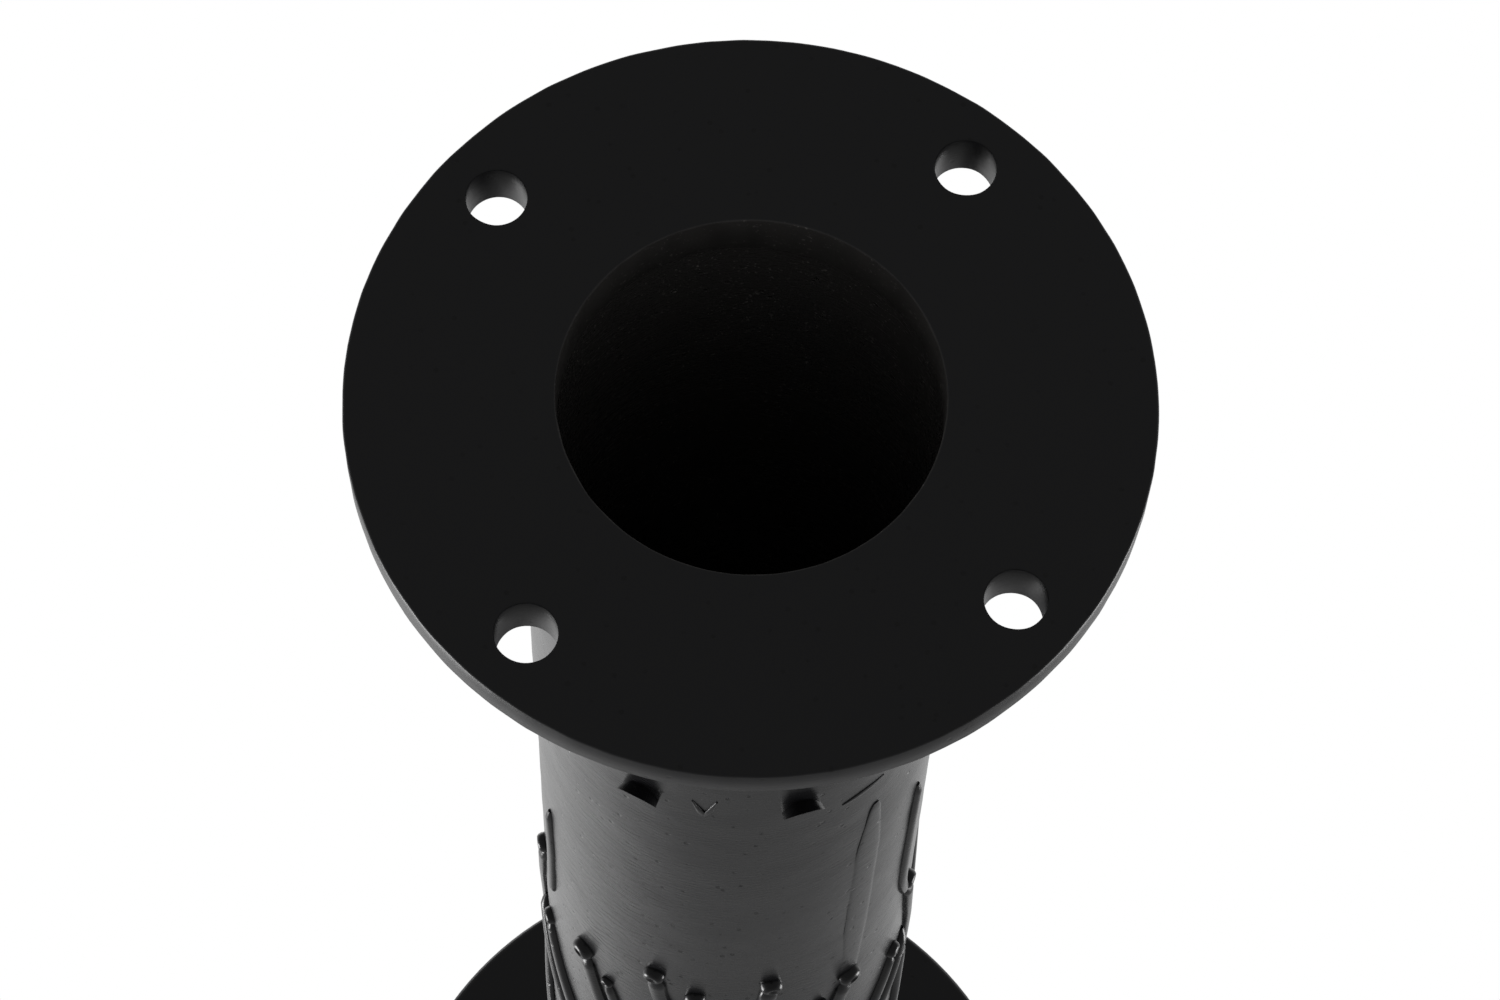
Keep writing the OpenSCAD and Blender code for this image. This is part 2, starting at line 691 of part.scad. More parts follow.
module minute_hand() {
    hand(minute_len, 5.5, 12, 52, arbor_r, minute_hand_y, minute_turn);
    head_disc_ring(arbor_r, 7, -minute_hand_y - hand_t - 3, -minute_hand_y - 1);
}
module hour_hand() hand(hour_len, 7, 15, 40, pipe_r + pipe_wall, hour_hand_y, hour_turn);

module front_minute_hand() color(iron) minute_hand();
module front_hour_hand() color(iron) hour_hand();
module rear_minute_hand() color(iron) to_rear() minute_hand();
module rear_hour_hand() color(iron) to_rear() hour_hand();

// ---- Doors ----

module door_knuckles() for (s = [-1, 1], k = [-1, 1])
    translate([-hinge_x, -case_half - 1,
        head_z + s * hinge_span + k * (knuckle_h + 0.6) - knuckle_h / 2]) {
        cylinder(r = hinge_r, h = knuckle_h, $fn = 48);
        translate([0, -7.5, 0]) cube([hinge_x - case_r + 32, 5, knuckle_h]);
        translate([-2, -6, 0]) cube([4, 6, knuckle_h]);
    }

module bezel() difference() {
    union() {
        head_disc(door_r, -door_y - 12, -door_y);
        upright(-door_y - 12) cylinder(r1 = door_r, r2 = sight_r + 14, h = door_t - 12);
        upright(-door_y - 12) rotate_extrude() translate([door_r - 12, 0]) circle(r = 9, $fn = 32);
        difference() {
            door_knuckles();
            head_disc(door_r - 1, -door_y - 12, 0);
        }
    }
    head_disc(sight_r, -door_y - door_t - 10, 0);
    head_disc(sight_r + glass_seat, -glass_y - glass_t - seal_t, 1);
    for (s = [-1, 1]) translate([-hinge_x, -case_half - 1, head_z + s * hinge_span - 60])
        cylinder(r = hinge_pin_r + run_gap, h = 120, $fn = 48);
    upright(0) translate([latch_x, 0, 0]) {
        cylinder(r = 5 + run_gap, h = door_y + door_t, $fn = 48);
        translate([0, 0, door_y + door_t - 5]) cylinder(r = knob_r + 1, h = 20, $fn = 48);
    }
}

// A glass and its seal, held in the door's rebate
module glass() head_disc(sight_r + glass_seat - 0.2, -glass_y - glass_t, -glass_y);
module glass_seal() {
    head_disc_ring(sight_r - 1, sight_r + glass_seat - 0.2,
        -glass_y - glass_t - seal_t, -glass_y - glass_t);
    head_disc_ring(sight_r - 1, sight_r + glass_seat, -glass_y, -door_y);
}

module hinge_pins() for (s = [-1, 1])
    translate([-hinge_x, -case_half - 1, head_z + s * hinge_span - 1.5 * knuckle_h - 3]) {
        cylinder(r = hinge_pin_r, h = 3 * knuckle_h + 6, $fn = 48);
        translate([0, 0, 3 * knuckle_h + 4.5]) cylinder(r = 5, h = 3, $fn = 48);
    }

// A quarter-turn latch: knob and wing outside, shank through the door, cam behind the keepers.
// As drawn the cam lies between the keepers, so the door is shut but not locked.
module latch() {
    upright(-door_y - door_t + 4.9) translate([latch_x, 0, 0]) {
        cylinder(r = knob_r, h = 6, $fn = 48);
        translate([-knob_r + 1, -3, 0]) cube([2 * knob_r - 2, 6, 16]);
    }
    upright(-case_half + 8.5) translate([latch_x, 0, 0]) {
        cylinder(r = 5, h = door_y + door_t - case_half + 5, $fn = 48);
        translate([-cam_r, -4.5, 0]) cube([2 * cam_r, 9, 4]);
    }
}

module front_bezel() color(iron) bezel();
module front_glass() color("#cfe0e8", 0.3) glass();
module front_glass_seal() color(rubber) glass_seal();
module front_hinge_pins() color(steel) hinge_pins();
module front_latch() color(steel) latch();
module rear_bezel() color(iron) to_rear() bezel();
module rear_glass() color("#cfe0e8", 0.3) to_rear() glass();
module rear_glass_seal() color(rubber) to_rear() glass_seal();
module rear_hinge_pins() color(steel) to_rear() hinge_pins();
module rear_latch() color(steel) to_rear() latch();

base_flange();
base_weld();
lower_shaft();
shaft_relief();
collar_plate();
column_foot();
foot_gasket();
collar_bolts();
collar_nuts();
fluted_column();
column_astragal();
capital();
saddle();
saddle_bolts();
left_scroll();
right_scroll();
case_drum();
case_gaskets();
finial_base();
finial();
cable_gland();
lamp_ring();
power_supply();
terminal_block();
movement_strap();
front_plate();
centre_plate();
rear_plate();
plate_pillars();
drive_motor();
front_dial();
rear_dial();
dial_screws();
front_bezel();
front_glass();
front_glass_seal();
front_hinge_pins();
front_latch();
rear_bezel();
rear_glass();
rear_glass_seal();
rear_hinge_pins();
rear_latch();
drive_pinion();
idler_pinion();
front_minute_arbor();
front_motion_wheel();
front_hour_wheel();
rear_minute_arbor();
rear_motion_wheel();
rear_hour_wheel();
front_minute_hand();
front_hour_hand();
rear_minute_hand();
rear_hour_hand();
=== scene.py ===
import json
import math

import bmesh
import bpy
from mathutils import Matrix, Vector, noise


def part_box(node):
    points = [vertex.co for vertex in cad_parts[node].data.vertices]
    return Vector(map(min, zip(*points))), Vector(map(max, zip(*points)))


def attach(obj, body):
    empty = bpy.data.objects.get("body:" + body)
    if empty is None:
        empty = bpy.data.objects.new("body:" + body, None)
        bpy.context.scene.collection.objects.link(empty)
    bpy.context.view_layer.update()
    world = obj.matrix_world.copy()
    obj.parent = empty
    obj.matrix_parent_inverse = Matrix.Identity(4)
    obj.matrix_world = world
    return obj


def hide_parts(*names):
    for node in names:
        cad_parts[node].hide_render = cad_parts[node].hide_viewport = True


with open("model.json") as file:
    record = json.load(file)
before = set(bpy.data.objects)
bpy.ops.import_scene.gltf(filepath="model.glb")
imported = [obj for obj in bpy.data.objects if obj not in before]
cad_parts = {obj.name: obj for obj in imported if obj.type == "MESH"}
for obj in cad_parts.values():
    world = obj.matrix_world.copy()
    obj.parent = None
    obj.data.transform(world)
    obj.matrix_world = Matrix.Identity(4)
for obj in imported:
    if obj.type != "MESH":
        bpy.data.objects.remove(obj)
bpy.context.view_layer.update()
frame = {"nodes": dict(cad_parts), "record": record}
nodes = frame["nodes"]
post = "post_and_case"
headHeight = sum(corner.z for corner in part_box("front_glass")) / 2
print("frame loaded:", len(nodes), "nodes")

# camera, world, floor and lights

view = {
    "location": (0.0705, -0.5494, -1.1564),
    "target": (-0.0012, 0.0, 0.0763),
    "roll": -177.05,
    "lens": 104.74,
}


def addObject(name, data):
    made = bpy.data.objects.new(name, data)
    bpy.context.scene.collection.objects.link(made)
    return made


def aimed(place, target):
    # a matrix at place whose -Z axis looks at target
    turn = (Vector(target) - Vector(place)).to_track_quat("-Z", "Y")
    return Matrix.Translation(place) @ turn.to_matrix().to_4x4()


def addCamera(s):
    data = bpy.data.cameras.new("viewCamera")
    data.lens = s["lens"]
    data.sensor_width = 36
    data.clip_start = 0.05
    data.clip_end = 60
    camera = addObject("viewCamera", data)
    roll = Matrix.Rotation(math.radians(s["roll"]), 4, "Z")
    camera.matrix_world = aimed(s["location"], s["target"]) @ roll
    bpy.context.scene.camera = camera

addCamera(view)


# helpers for shaders and for geometry trees


class Wire:
    # an output socket that can stand in a sum, such as 1 - mask * 0.4
    def __init__(self, tree, socket):
        self.tree, self.socket = tree, socket

    def maths(self, operation, *others):
        values = dict(enumerate((self, *others)))
        return addNode(self.tree, "ShaderNodeMath", {"operation": operation}, values)

    def __add__(self, other):
        return self.maths("ADD", other)

    __radd__ = __add__

    def __mul__(self, other):
        return self.maths("MULTIPLY", other)

    __rmul__ = __mul__

    def __sub__(self, other):
        return self.maths("SUBTRACT", other)

    def __rsub__(self, other):
        return addNode(self.tree, "ShaderNodeMath", {"operation": "SUBTRACT"}, {0: other, 1: self})

    def __truediv__(self, other):
        return self.maths("DIVIDE", other)

    def __pow__(self, other):
        return self.maths("POWER", other)

    def above(self, low, high):
        # 0 below low, 1 above high, smooth between
        return addNode(self.tree, "ShaderNodeMapRange", {"interpolation_type": "SMOOTHSTEP"},
                       {0: self, 1: low, 2: high, 3: 0.0, 4: 1.0})


def addNode(tree, kind, settings=None, inputs=None, out=0):
    node = tree.nodes.new(kind)
    for name, value in (settings or {}).items():
        if name == "stops":
            ramp = node.color_ramp
            while len(ramp.elements) > 1:
                ramp.elements.remove(ramp.elements[0])
            for i, (place, colour) in enumerate(value):
                stop = ramp.elements[0] if i == 0 else ramp.elements.new(place)
                stop.position, stop.color = place, (*colour, 1)
        else:
            setattr(node, name, value)
    for name, value in (inputs or {}).items():
        socket = node.inputs[name]
        if isinstance(value, Wire):
            tree.links.new(value.socket, socket)
        else:
            socket.default_value = value
    return Wire(tree, node.outputs[out]) if len(node.outputs) else None


def mixColour(tree, amount, first, second):
    first, second = [(*c, 1) if isinstance(c, tuple) and len(c) == 3 else c for c in (first, second)]
    return addNode(tree, "ShaderNodeMix", {"data_type": "RGBA"}, {0: amount, 6: first, 7: second}, 2)


def objectPlace(tree):
    return addNode(tree, "ShaderNodeTexCoord", out=3)


def axesOf(tree, place, count=3):
    # the x, y and z of a place, or the first of them
    return [addNode(tree, "ShaderNodeSeparateXYZ", inputs={0: place}, out=i) for i in range(count)]


def joined(tree, *axes):
    return addNode(tree, "ShaderNodeCombineXYZ", inputs=dict(enumerate(axes)))


def noiseAt(tree, place, scale, detail=3.0, **more):
    return addNode(tree, "ShaderNodeTexNoise", inputs={
        "Vector": place, "Scale": scale, "Detail": detail, **more})


def stretched(tree, place, scale):
    return addNode(tree, "ShaderNodeMapping", inputs={"Vector": place, "Scale": scale})


def bumpOf(tree, height, strength, distance):
    return addNode(tree, "ShaderNodeBump", inputs={
        "Strength": strength, "Distance": distance, "Height": height})


worldLight = {
    "front": 0.26, "back": 0.86, "down": 0.17, "seen": 1.0, "turn": 0.32,
    "middle": (-0.3, 0.34), "horizon": (-0.35, 0.45),
}


def addWorld(s):
    # dim in front, bright behind and dimmest below; the camera itself sees plain white
    world = bpy.data.worlds.new("studio")
    bpy.context.scene.world = world
    world.use_nodes = True
    tree = world.node_tree
    tree.nodes.clear()
    x, y, height = axesOf(tree, addNode(tree, "ShaderNodeTexCoord"))
    behind = (x * math.sin(s["turn"]) + y * math.cos(s["turn"])).above(*s["middle"])
    sky = behind * (s["back"] - s["front"]) + s["front"]
    strength = height.above(*s["horizon"]) * (sky - s["down"]) + s["down"]
    seen = addNode(tree, "ShaderNodeLightPath")
    lit = addNode(tree, "ShaderNodeBackground", inputs={"Color": (1, 1, 1, 1), "Strength": strength})
    plain = addNode(tree, "ShaderNodeBackground", inputs={"Color": (1, 1, 1, 1), "Strength": s["seen"]})
    both = addNode(tree, "ShaderNodeMixShader", inputs={0: seen, 1: lit, 2: plain})
    addNode(tree, "ShaderNodeOutputWorld", inputs={0: both})


def newMaterial(name):
    material = bpy.data.materials.new(name)
    material.use_nodes = True
    material.node_tree.nodes.clear()
    return material, material.node_tree


def closeMaterial(tree, surface):
    addNode(tree, "ShaderNodeOutputMaterial", inputs={"Surface": surface})


floorLook = {
    "half": 12, "level": -0.0005, "first": (0.80, 0.80, 0.79), "second": (0.86, 0.86, 0.85), "roughness": 0.6,
    "patches": 6.0, "fade": (1.2, 4.5),
}


def addFloor(s):
    # pale floor, clear from below and clear again far out; it lies just under the flange so that the
    # two don't share a face
    mesh = bpy.data.meshes.new("floor")
    corners = [(s["half"] * x, s["half"] * y, s["level"]) for x, y in ((-1, -1), (1, -1), (1, 1), (-1, 1))]
    mesh.from_pydata(corners, [], [(0, 1, 2, 3)])
    floor = addObject("floor", mesh)
    material, tree = newMaterial("paleFloor")
    place = objectPlace(tree)
    colour = mixColour(tree, noiseAt(tree, place, s["patches"], 4.0), s["first"], s["second"])
    paint = addNode(tree, "ShaderNodeBsdfPrincipled", inputs={
        "Base Color": colour, "Roughness": s["roughness"]})
    x, y = axesOf(tree, place, 2)
    far = (x * x + y * y).maths("SQRT").above(*s["fade"])
    unseen = addNode(tree, "ShaderNodeNewGeometry", out=6).maths("MAXIMUM", far)
    clear = addNode(tree, "ShaderNodeBsdfTransparent")
    closeMaterial(tree, addNode(tree, "ShaderNodeMixShader", inputs={0: unseen, 1: paint, 2: clear}))
    mesh.materials.append(material)
    floor.visible_diffuse = False
    floor.visible_glossy = False
    floor.visible_transmission = False
    floor.visible_shadow = False


lamps = [
    {"name": "leftSoftbox", "place": (4.2, -0.9, 2.6), "size": 2.2, "power": 150, "aim": (0, 0, 0.9)},
    {"name": "rightSoftbox", "place": (-4.2, -0.9, 2.6), "size": 2.2, "power": 120, "aim": (0, 0, 0.9)},
    {"name": "rearSoftbox", "place": (1.4, 4.2, 3.0), "size": 2.4, "power": 20, "aim": (0, 0, 1.4)},
    {"name": "frontHeadLight", "place": (-1.6, -4.4, 3.2), "size": 0.6, "power": 400, "aim": (0, 0, 2.15),
     "cone": 24, "blend": 0.5},
]


def addLamps():
    # soft panels, and a spot where a cone is given
    for s in lamps:
        data = bpy.data.lights.new(s["name"], "SPOT" if "cone" in s else "AREA")
        data.energy = s["power"]
        if "cone" in s:
            data.spot_size = math.radians(s["cone"])
            data.spot_blend = s["blend"]
            data.shadow_soft_size = s["size"] / 2
        else:
            data.size = s["size"]
        addObject(s["name"], data).matrix_world = aimed(s["place"], s["aim"])

addWorld(worldLight)
addFloor(floorLook)
addLamps()
bpy.context.scene.view_settings.view_transform = "Standard"
print("stage ready")


# finishes


def paintedIron(name, s):
    # black enamel on iron: brushed strokes round the post, cast lumps, fine grain and small pits with painted
    # shade in them; where a bore wall is given, the inside is painted lighter with light flecks, as painted
    # light and painted glints
    material, tree = newMaterial(name)
    place = objectPlace(tree)
    strokes = noiseAt(tree, stretched(tree, place, (1, 1, s["strokeRatio"])), s["strokeScale"], Roughness=0.6)
    lumps = noiseAt(tree, place, s["lumpScale"])
    grain = noiseAt(tree, place, s["grainScale"], 2.0)
    drift = noiseAt(tree, place, s["driftScale"], 2.0)
    cells = addNode(tree, "ShaderNodeTexVoronoi", inputs={"Vector": place, "Scale": s["pitScale"]})
    pits = (1 - cells.above(*s["pitEdge"])) * lumps.above(*s["pitPlaces"])
    colour = mixColour(tree, drift, s["dark"], s["light"])
    # the pits are painted darker than the enamel: painted shade in the pits, on top of the dent their bump
    # makes
    colour = mixColour(tree, pits * s["pitShade"], colour, s["pitShadeColour"])
    if "boreWall" in s:
        # inside this radius the wall is painted a lighter grey than the enamel, flecked lighter still:
        # painted light and painted glints inside the bore
        x, y = axesOf(tree, place, 2)
        inside = 1 - (x * x + y * y).maths("SQRT").above(s["boreWall"], s["boreWall"] + 0.001)
        paintedGlintFlecks = grain.above(0.62, 0.72) * lumps.above(0.4, 0.6)
        colour = mixColour(tree, inside, colour, mixColour(tree, paintedGlintFlecks, s["paintedBoreLight"], s["dust"]))
    height = strokes * s["strokeDepth"] + lumps * s["lumpDepth"]
    height = height + grain * s["grainDepth"] - pits * s["pitDepth"]
    rough = strokes * s["strokeRough"] + drift * s["driftRough"]
    rough = rough + (s["roughness"] - (s["strokeRough"] + s["driftRough"]) / 2)
    closeMaterial(tree, addNode(tree, "ShaderNodeBsdfPrincipled", inputs={
        "Base Color": colour, "Roughness": rough, "Normal": bumpOf(tree, height, 1.0, 0.001), "IOR": 1.5}))
    return material


def turnedMetal(name, s):
    # fine turning or brushing marks, a little tarnish in patches
    material, tree = newMaterial(name)
    place = objectPlace(tree)
    lines = noiseAt(tree, stretched(tree, place, (1, 14, 1)), 260.0)
    patches = noiseAt(tree, place, 45.0, 4.0)
    colour = mixColour(tree, patches.above(0.42, 0.7), s["clean"], s["tarnish"])
    closeMaterial(tree, addNode(tree, "ShaderNodeBsdfPrincipled", inputs={
        "Base Color": colour, "Metallic": 1.0, "Normal": bumpOf(tree, lines, 0.5, 0.0001),
        "Roughness": lines * 0.14 + patches * 0.12 + (s["roughness"] - 0.12)}))
    return material


def softSurface(name, s):
    # rubber, moulded plastic and opal dial sheet
    material, tree = newMaterial(name)
    place = objectPlace(tree)
    grain = noiseAt(tree, place, s["grainScale"])
    colour = mixColour(tree, noiseAt(tree, place, 7.0), s["first"], s["second"])
    closeMaterial(tree, addNode(tree, "ShaderNodeBsdfPrincipled", inputs={
        "Base Color": colour, "Roughness": grain * 0.1 + (s["roughness"] - 0.05),
        "Normal": bumpOf(tree, grain, 0.6, s["grainDepth"])}))
    return material


def clearGlass(name, s):
    # thin float glass: clear straight through, bright at a slant, with faint dust
    material, tree = newMaterial(name)
    dust = noiseAt(tree, objectPlace(tree), 30.0, 6.0)
    slant = addNode(tree, "ShaderNodeFresnel", inputs={"IOR": s["ior"]})
    gloss = addNode(tree, "ShaderNodeBsdfPrincipled", inputs={
        "Base Color": (*s["tint"], 1), "Roughness": dust.above(0.55, 0.9) * 0.25 + 0.02})
    through = addNode(tree, "ShaderNodeBsdfTransparent", inputs={"Color": (*s["pass"], 1)})
    closeMaterial(tree, addNode(tree, "ShaderNodeMixShader", inputs={
        0: slant * 0.75 + dust.above(0.5, 1.0) * 0.05, 1: through, 2: gloss}))
    return material


# the pit colour and its amount paint shade into the pits
enamel = {
    "dark": (0.0105, 0.0105, 0.0118), "light": (0.0135, 0.0135, 0.015), "driftScale": 9.0, "roughness": 0.27,
    "strokeScale": 190.0, "strokeRatio": 7.0, "strokeDepth": 0.036, "strokeRough": 0.1, "driftRough": 0.08,
    "lumpScale": 70.0, "lumpDepth": 0.13, "grainScale": 900.0, "grainDepth": 0.012,
    "pitScale": 170.0, "pitDepth": 0.22, "pitEdge": (0.09, 0.19), "pitPlaces": (0.44, 0.56),
    "pitShade": 0.7, "pitShadeColour": (0.003, 0.003, 0.003),
}
# the bore's lighter colour and its light flecks are painted light and painted glints
boreLook = {"boreWall": 0.0635, "paintedBoreLight": (0.105, 0.1, 0.096), "dust": (0.4, 0.38, 0.36)}
shaftEnamel = paintedIron("shaftEnamel", {**enamel, **boreLook})
flangeEnamel = paintedIron("flangeEnamel", {
    **enamel, **boreLook, "boreWall": 0.0572, "roughness": 0.4,
    "strokeDepth": 0.035, "lumpDepth": 0.05, "grainDepth": 0.02, "pitDepth": 0.06})
caseEnamel = paintedIron("caseEnamel", {
    **enamel, "roughness": 0.24, "strokeDepth": 0.008, "lumpDepth": 0.05, "pitDepth": 0.0})
handEnamel = paintedIron("handEnamel", {
    **enamel, "roughness": 0.4, "strokeDepth": 0.0, "lumpDepth": 0.02, "grainDepth": 0.008, "pitDepth": 0.0})
zincSteel = turnedMetal("zincSteel", {
    "clean": (0.62, 0.63, 0.65), "tarnish": (0.45, 0.44, 0.42), "roughness": 0.32})
gearBrass = turnedMetal("gearBrass", {
    "clean": (0.78, 0.58, 0.25), "tarnish": (0.55, 0.38, 0.15), "roughness": 0.28})
stripAluminium = turnedMetal("stripAluminium", {
    "clean": (0.85, 0.85, 0.86), "tarnish": (0.7, 0.7, 0.7), "roughness": 0.3})
sealRubber = softSurface("sealRubber", {"first": (0.012, 0.012, 0.012), "second": (0.025, 0.025, 0.024),
                                        "roughness": 0.75, "grainScale": 700.0, "grainDepth": 0.0002})
boxPlastic = softSurface("boxPlastic", {"first": (0.6, 0.6, 0.58), "second": (0.68, 0.68, 0.66),
                                        "roughness": 0.5, "grainScale": 900.0, "grainDepth": 0.0001})
opalDial = softSurface("opalDial", {"first": (0.86, 0.85, 0.79), "second": (0.9, 0.89, 0.84),
                                    "roughness": 0.35, "grainScale": 500.0, "grainDepth": 0.00002})
sightGlass = clearGlass("sightGlass", {"ior": 1.5, "tint": (0.93, 0.95, 0.94), "pass": (0.985, 0.992, 0.988)})
print("finishes ready")

finishOfSlot = {
    "black_paint": caseEnamel, "zinc_steel": zincSteel, "brass": gearBrass, "dial_opal": opalDial,
    "hand_black": handEnamel, "glass": sightGlass, "rubber": sealRubber, "housing": boxPlastic,
    "aluminium": stripAluminium,
}
for part in frame["record"]["subparts"]:
    mesh = nodes[part["node"]].data
    mesh.materials.clear()
    mesh.materials.append(finishOfSlot[part["material_slot"]])
for name in ("collar_plate", "column_foot", "base_weld"):
    nodes[name].data.materials[0] = flangeEnamel


# making meshes


def top(name):
    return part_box(name)[1].z


def addPiece(name, mesh, finish=caseEnamel, body=post, replaced=(), sharp=35,
             closeUp=True):
    # mesh is a bmesh or a mesh in place; the piece rides on body and stands for the replaced nodes
    if isinstance(mesh, bmesh.types.BMesh):
        shape = mesh
        if closeUp:
            bmesh.ops.remove_doubles(shape, verts=shape.verts, dist=1e-6)
            bmesh.ops.recalc_face_normals(shape, faces=shape.faces)
        mesh = bpy.data.meshes.new(name)
        shape.to_mesh(mesh)
        shape.free()
    mesh.polygons.foreach_set("use_smooth", [True] * len(mesh.polygons))
    mesh.set_sharp_from_angle(angle=math.radians(sharp))
    mesh.materials.clear()
    mesh.materials.append(finish)
    piece = addObject(name, mesh)
    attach(piece, body)
    if replaced:
        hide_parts(*replaced)
    return piece


def skin(shape, rings, loop=True, flip=False):
    # faces between each row of points and the next; loop joins the last point of a row to its first
    for low, high in zip(rings, rings[1:]):
        for k in range(len(low) if loop else len(low) - 1):
            j = (k + 1) % len(low)
            corners = (low[k], low[j], high[j], high[k])
            shape.faces.new(corners[::-1] if flip else corners)


def roundPost(radius, height, a):
    return radius * math.cos(a), radius * math.sin(a), height


def latheInto(shape, profile, segments, place=roundPost, loop=True):
    # turns (radius, height) points round an axis; loop joins the last point to the first
    turns = [2 * math.pi * i / segments for i in range(segments)]
    rings = []
    for radius, height in profile:
        spots = turns if radius > 0 else turns[:1]
        rings.append([shape.verts.new(place(radius, height, a)) for a in spots])
    pairs = list(zip(rings, rings[1:])) + ([(rings[-1], rings[0])] if loop else [])
    for low, high in pairs:
        if len(low) == 1 and len(high) == 1:
            continue
        for i in range(segments):
            k = (i + 1) % segments
            corners = [low[i % len(low)], low[k % len(low)], high[k % len(high)], high[i % len(high)]]
            shape.faces.new(list(dict.fromkeys(corners)))


def rounded(points, radius, steps=3):
    # a closed outline with its corners rounded; a corner may be (x, y, radius)
    made = []
    for i, corner in enumerate(points):
        here = Vector(corner[:2])
        r = corner[2] if len(corner) > 2 else radius
        before = (Vector(points[i - 1][:2]) - here)
        after = (Vector(points[(i + 1) % len(points)][:2]) - here)
        reach = min(r, before.length * 0.45, after.length * 0.45)
        if reach < 1e-6:
            made.append(tuple(here))
            continue
        start, end = here + before.normalized() * reach, here + after.normalized() * reach
        for k in range(steps + 1):
            t = k / steps
            made.append(tuple(start * (1 - t) ** 2 + here * 2 * t * (1 - t) + end * t ** 2))
    return made


def openTree(name, sizes):
    tree = bpy.data.node_groups.new(name, "GeometryNodeTree")
    tree.interface.new_socket("Geometry", in_out="INPUT", socket_type="NodeSocketGeometry")
    for label, kind in sizes.items():
        tree.interface.new_socket(label, in_out="INPUT", socket_type="NodeSocket" + kind)
    tree.interface.new_socket("Geometry", in_out="OUTPUT", socket_type="NodeSocketGeometry")
    entry = tree.nodes.new("NodeGroupInput")
    return tree, {label: Wire(tree, entry.outputs[label]) for label in ("Geometry", *sizes)}


def closeTree(tree, geometry, finish):
    real = addNode(tree, "GeometryNodeRealizeInstances", inputs={"Geometry": geometry})
    painted = addNode(tree, "GeometryNodeSetMaterial", inputs={"Geometry": real, "Material": finish})
    addNode(tree, "NodeGroupOutput", inputs={0: painted})


def grow(tree, shape, sizes):
    # runs a geometry tree on a bmesh and gives back a plain mesh
    bmesh.ops.recalc_face_normals(shape, faces=shape.faces)
    mesh = bpy.data.meshes.new("stock")
    shape.to_mesh(mesh)
    shape.free()
    stock = addObject("stock", mesh)
    modifier = stock.modifiers.new("build", "NODES")
    modifier.node_group = tree
    for item in tree.interface.items_tree:
        if item.in_out == "INPUT" and item.name in sizes:
            modifier[item.identifier] = sizes[item.name]
    stock.update_tag()
    graph = bpy.context.evaluated_depsgraph_get()
    made = bpy.data.meshes.new_from_object(stock.evaluated_get(graph))
    stock.modifiers.remove(modifier)
    bpy.data.objects.remove(stock)
    return made


def buildWrapTree():
    # wraps a flat pattern (x round the shaft, y up it, z proud of it) and repeats it round
    tree, size = openTree("wrapOnShaft", {
        "Radius": "Float", "Start": "Float", "Count": "Int", "Finish": "Material"})
    x, y, z = axesOf(tree, addNode(tree, "GeometryNodeInputPosition"))
    angle, reach = x / size["Radius"] + size["Start"], z + size["Radius"]
    around = joined(tree, reach * angle.maths("COSINE"), reach * angle.maths("SINE"), y)
    wrapped = addNode(tree, "GeometryNodeSetPosition", inputs={
        "Geometry": size["Geometry"], "Position": around})
    closeTree(tree, repeated(tree, wrapped, size["Count"], None, None), size["Finish"])
    return tree


def repeated(tree, item, count, radius, start):
    # copies of item round Z, at a radius where one is given
    turn = addNode(tree, "GeometryNodeInputIndex") * (2 * math.pi) / count
    inputs = {"Count": count}
    if radius is not None:
        turn = turn + start
        inputs["Position"] = joined(tree, radius * turn.maths("COSINE"), radius * turn.maths("SINE"))
    return addNode(tree, "GeometryNodeInstanceOnPoints", inputs={
        "Points": addNode(tree, "GeometryNodePoints", inputs=inputs), "Instance": item,
        "Rotation": joined(tree, 0, 0, turn)})


def buildRingTree():
    # sets copies of an item in a ring round Z, then tilts and lifts the ring
    tree, size = openTree("ringOfItems", {"Count": "Int", "Radius": "Float", "Start": "Float",
                                          "Tilt": "Vector", "Centre": "Vector", "Finish": "Material"})
    ring = repeated(tree, size["Geometry"], size["Count"], size["Radius"], size["Start"])
    placed = addNode(tree, "GeometryNodeTransform", inputs={
        "Geometry": ring, "Translation": size["Centre"], "Rotation": size["Tilt"]})
    closeTree(tree, placed, size["Finish"])
    return tree


def ringOf(shape, count, radius, finish, start=0.0, **more):
    # an item repeated round Z; Tilt and Centre place the ring elsewhere
    return grow(ringTree, shape, {"Count": count, "Radius": radius, "Start": start, "Finish": finish, **more})

wrapTree = buildWrapTree()
ringTree = buildRingTree()
print("trees ready")


# base flange

mm = 0.001
flangeSize = {
    "radius": 120 * mm, "thick": 18 * mm, "bore": 57.5 * mm, "holeCircle": 100 * mm, "holeRadius": 9.25 * mm,
    "holes": 4, "backDraft": 2.2 * mm, "edge": 0.9 * mm, "lip": 0.6 * mm, "segments": 300, "holeSegments": 56,
    "waver": 0.16 * mm, "waverScale": 150, "waverSeed": 5,
}


def addHoledFace(shape, s, height, radius, bore, holeRadius):
    # one face of the plate: its outer edge, bore and holes as rims, filled between them
    def rim(count, size, x=0, y=0):
        turns = [2 * math.pi * i / count for i in range(count)]
        ring = [shape.verts.new((x + size * math.cos(a), y + size * math.sin(a), height)) for a in turns]
        return ring, [shape.edges.new((ring[i], ring[(i + 1) % count])) for i in range(count)]
    rims = [rim(s["segments"], radius), rim(s["segments"], bore)]
    for k in range(s["holes"]):
        a = math.radians(45 + 90 * k)
        x, y = s["holeCircle"] * math.cos(a), s["holeCircle"] * math.sin(a)
        rims.append(rim(s["holeSegments"], holeRadius, x, y))
    edges = [edge for _, rimEdges in rims for edge in rimEdges]
    made = bmesh.ops.triangle_fill(shape, use_beauty=True, edges=edges)
    for face in (item for item in made["geom"] if isinstance(item, bmesh.types.BMFace)):
        if (face.normal.z > 0) == (height < s["thick"] / 2):
            face.normal_flip()
    return [ring for ring, _ in rims]


